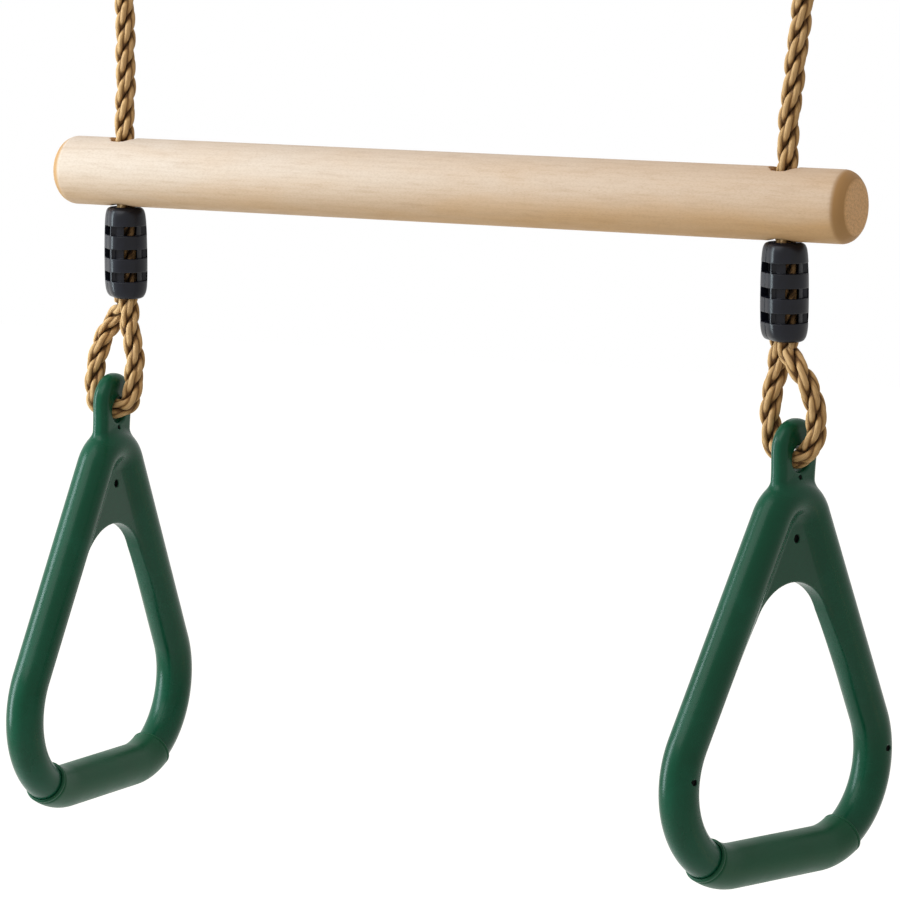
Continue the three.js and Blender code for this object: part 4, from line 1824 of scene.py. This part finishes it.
    def make(self, work: RopeWork, fitter: Fitter, finishes: Finishes) -> None:
        """Make one hand ring with its sleeve and pins.

        Args:
            work: The ropes' places on its side.
            fitter: Puts the pieces on their bodies.
            finishes: The finishes.
        """
        turn = Matrix(work.ring_matrix().tolist()).to_4x4()
        spot = Matrix.Translation(Vector(work.lift(np.array(work.eye))) * MM) @ turn
        name = work.hand.value
        ring = self.ring_skin().mesh("ring_moulding", finishes.ring)
        grip = self.grip_skin().mesh("grip_tube", finishes.grip, self.crease)
        # The pins take the near-black finish, painted shade in the pin holes
        pins = self.pin_skin().mesh("ring_pins", finishes.pin, self.crease)
        for mesh, title, slot, nodes in (
            (ring, "ring_moulding", "ring_plastic", (f"{name}_ring_frame",)),
            (grip, "grip_tube", "grip_plastic", (f"{name}_grip_sleeve",)),
            (pins, "ring_pins", "ring_plastic", ()),
        ):
            fitter.fit(f"{name}_{title}", mesh, f"{name}_ring", slot, *nodes, spot=spot)


# Steel rings


@dataclass
class SteelRing:
    """The welded wire ring that each rope hangs from."""

    wire: float = 8.0
    bore: float = 44.0
    weld_swell: float = 0.5
    weld_length: float = 3.2
    weld_ripple: float = 0.12
    ripple_rate: float = 3.2
    steps_around: int = 144
    wire_sides: int = 28

    def __post_init__(self) -> None:
        """Work out the radius of the wire's middle line."""
        self.radius = (self.bore + self.wire) / 2

    def wire_radius(self, away: float) -> float:
        """Give the wire's radius at a distance from the middle of the weld.

        Args:
            away: The distance along the wire.

        Returns:
            The radius there.
        """
        if away >= 3 * self.weld_length:
            return self.wire / 2
        fade = (away / self.weld_length) ** 2
        ripple = self.weld_ripple * math.cos(away * self.ripple_rate) * math.exp(-fade)
        return self.wire / 2 + (self.weld_swell * math.exp(-fade * 3) + ripple)

    def skin(self) -> Skin:
        """Make the ring, round the Y axis, with its weld at the side.

        Returns:
            Its skin, round its own middle.
        """
        phi = np.arange(self.wire_sides) / self.wire_sides * TURN
        points = []
        for i in range(self.steps_around):
            angle = i / self.steps_around * TURN
            wire = self.wire_radius(abs((angle + math.pi) % TURN - math.pi) * self.radius)
            out = np.array([math.cos(angle), 0.0, math.sin(angle)])
            ring = np.cos(phi)[:, None] * out + np.sin(phi)[:, None] * [0, 1.0, 0]
            points.append(out * self.radius + wire * ring)
        return Skin(np.vstack(points), tube_faces(self.steps_around, self.wire_sides))

    def make(self, works: list[RopeWork], fitter: Fitter, finish: Material) -> None:
        """Make both steel rings.

        Args:
            works: The ropes' places on both sides.
            fitter: Puts the pieces on their bodies.
            finish: The steel.
        """
        mesh = self.skin().mesh("welded_ring", finish)
        for work in works:
            name = work.hand.value
            spot = Matrix.Translation(Vector((work.upper_x, 0, self.radius)) * MM)
            fitter.fit(f"{name}_welded_ring", mesh, "hangers", "hanging_ring_steel", f"{name}_hanging_ring",
                       spot=spot)


# Studio


@dataclass
class Studio:
    """The camera, the lamps, the floor and the air round the trapeze."""

    azimuth: float = 30.72
    elevation: float = 8.0
    lens: float = 180.64
    distance: float = 2231.1
    target: Triple = (4.4, 0.0, -324.0)
    floor_height: float = -1.25
    floor_size: float = 14.0
    floor_glow: float = 0.76
    air: Triple = (1.0, 0.95, 0.84)
    air_strength: float = 0.43

    def back(self) -> Vector:
        """Give the direction from the trapeze to the camera.

        Returns:
            The direction, one long.
        """
        azimuth, elevation = math.radians(self.azimuth), math.radians(self.elevation)
        flat = math.cos(elevation)
        return Vector((math.sin(azimuth) * flat, -math.cos(azimuth) * flat, math.sin(elevation)))

    def right(self) -> Vector:
        """Give the level direction to the camera's right."""
        azimuth = math.radians(self.azimuth)
        return Vector((math.cos(azimuth), math.sin(azimuth), 0))

    def aim(self, data: bpy.types.ID, toward: Vector, away: float) -> Thing:
        """Put a camera or lamp in the scene, looking at the target from a distance in metres.

        Args:
            data: The camera or lamp.
            toward: Direction from the target to it.
            away: How far off it stands.

        Returns:
            The object in the scene.
        """
        made = bpy.data.objects.new(data.name, data)
        bpy.context.scene.collection.objects.link(made)
        made.location = Vector(self.target) * MM + toward.normalized() * away
        made.rotation_mode = "QUATERNION"
        made.rotation_quaternion = (-toward).to_track_quat("-Z", "Y")
        return made

    def make_camera(self) -> None:
        """Stand the camera where the photograph was taken from."""
        data = bpy.data.cameras.new("camera")
        data.lens = self.lens
        data.sensor_width = 36.0
        data.clip_start, data.clip_end = 0.05, 100.0
        bpy.context.scene.camera = self.aim(data, self.back(), self.distance * MM)

    def make_lamp(self, name: str, toward: Vector, away: float, size: tuple[float, float], power: float,
                  colour: Triple) -> None:
        """Hang a flat soft lamp that faces the trapeze.

        Args:
            name: The lamp's name.
            toward: Direction from the trapeze to the lamp.
            away: How far off it hangs, in metres.
            size: Its width and height in metres.
            power: Its power in watts.
            colour: Its colour.
        """
        data = bpy.data.lights.new(name, "AREA")
        data.shape = "RECTANGLE"
        data.size, data.size_y = size
        data.energy = power
        data.color = colour
        self.aim(data, toward, away)

    def make_lamps(self) -> None:
        """Hang the lamps, each in a direction given by shares of right, toward the camera and up."""
        axes = (self.right(), self.back(), Vector((0, 0, 1)))
        for name, shares, away, size, power, colour in (
            ("left_window", (-1, -0.08, 0.18), 1.4, (0.36, 1.3), 25, (0.8, 0.94, 1.0)),
            ("front_left_panel", (-0.75, 0.6, 1.05), 1.5, (1.1, 1.1), 10.5, (0.98, 0.985, 1.0)),
            ("low_right_bounce", (0.8, 0.2, -0.7), 1.8, (1.0, 0.6), 9.0, (1.0, 0.7, 0.32)),
        ):
            toward = sum((axis * share for axis, share in zip(axes, shares)), Vector())
            self.make_lamp(name, toward, away, size, power, colour)

    def make_air(self) -> None:
        """Fill the room with plain light, white where it is seen."""
        world = bpy.data.worlds.new("room")
        world.use_nodes = True
        bpy.context.scene.world = world
        table = NodeTable(world.node_tree)
        table.tree.nodes.clear()
        plain = table.node("ShaderNodeBackground", in_Color=(*self.air, 1), in_Strength=self.air_strength)
        white = table.node("ShaderNodeBackground", in_Color=WHITE, in_Strength=1.0)
        shares = ((0, table.seen()), (1, plain.outputs[0]), (2, white.outputs[0]))
        mix = table.node("ShaderNodeMixShader", *shares)
        table.node("ShaderNodeOutputWorld", ("Surface", mix.outputs[0]))

    def make_floor(self) -> None:
        """Lay the pale floor. It looks white, and keeps the trapeze's shadow."""
        half = self.floor_size / 2
        mesh = bpy.data.meshes.new("floor")
        corners = [(-half, -half, 0), (half, -half, 0), (half, half, 0), (-half, half, 0)]
        mesh.from_pydata(corners, [], [(0, 1, 2, 3)])
        floor = show_mesh("floor", mesh)
        floor.location = (0, 0, self.floor_height)
        bench = Workbench("pale_floor")
        bench.fix(Base_Color=(0.8, 0.8, 0.8, 1), Roughness=0.9, Specular_IOR_Level=0.0)
        level = bench.maths("MULTIPLY", bench.seen(), self.floor_glow)
        glow = bench.node("ShaderNodeEmission", ("Strength", level), in_Color=WHITE)
        both = bench.node("ShaderNodeAddShader", (0, bench.shader.outputs[0]), (1, glow.outputs[0]))
        bench.tree.links.new(both.outputs[0], bench.tree.nodes["Material Output"].inputs["Surface"])
        mesh.materials.append(bench.material)

    def make(self) -> None:
        """Set up all but the camera."""
        bpy.context.scene.view_settings.view_transform = "Standard"
        self.make_lamps()
        self.make_air()
        self.make_floor()


def rope_works() -> list[RopeWork]:
    """Give the ropes' places on both sides.

    Returns:
        The left side, then the right.
    """
    left = RopeWork(
        hand=Hand.LEFT,
        hole=-189.0,
        lower_x=-189.0,
        upper_x=-188.0,
        route=((-0.2, 0), (-0.4, 18), (0.1, 28), (0.9, 42), (1, 60), (1, 84)),
        eye=(-194.7, -5.6, -122.2),
        ring_turn=(93.8, -1.2, -2.4),
        loop=(
            (0.16, 0.36, 0.64, 0.2, 0.08),
            (0.28, 0.47, 0.81, 0.45, 0.24),
            (0.43, 0.62, 0.84, 0.75, 0.43),
            (0.58, 0.69, 0.88, 0.92, 0.58),
            (0.73, 0.7, 0.85, 1, 0.73),
            (0.87, 0.72, 0.74, 1, 0.87),
            (0.94, 0.65, 0.65, 1, 0.94),
            (0.985, 0.38, 0.38, 1, 0.985),
        ),
        pitch=36.5,
    )
    right = RopeWork(
        hand=Hand.RIGHT,
        hole=187.0,
        lower_x=187.6,
        upper_x=196.4,
        route=((1.2, 0), (1.4, 18), (1.9, 36), (3, 48), (4.4, 59), (6.4, 77), (8.7, 94)),
        eye=(193.3, 0.3, -119.892),
        ring_turn=(78.4, -2.5, -0.9),
        loop=(
            (0.16, 0.66, 0.38, 0.2, 0.08),
            (0.28, 0.92, 0.51, 0.45, 0.24),
            (0.43, 1.04, 0.67, 0.75, 0.43),
            (0.58, 1.08, 0.78, 0.92, 0.58),
            (0.73, 0.99, 0.82, 1, 0.73),
            (0.87, 0.8, 0.8, 1, 0.87),
            (0.94, 0.66, 0.67, 1, 0.94),
            (0.985, 0.38, 0.38, 1, 0.985),
        ),
        pitch=39.0,
    )
    return [left, right]


def main() -> None:
    """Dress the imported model, piece by piece."""
    logging.basicConfig(level=logging.INFO, format="%(message)s")
    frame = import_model()
    log.info("the packed model has %d nodes", len(frame["nodes"]))

    studio = Studio()
    studio.make_camera()
    fitter = Fitter()
    finishes = Finishes.make()
    works = rope_works()
    for work in works:
        work.make(fitter, finishes.rope)
    ClampSet().make(works, fitter, finishes)
    WoodenBar(holes=tuple(work.hole for work in works)).make(fitter, finishes.wood)
    HandRing(bend_pins=()).make(works[0], fitter, finishes)
    HandRing().make(works[1], fitter, finishes)
    SteelRing().make(works, fitter, finishes.steel)
    studio.make()
    log.info("%d pieces in all", fitter.count)


if __name__ == "__main__":
    main()
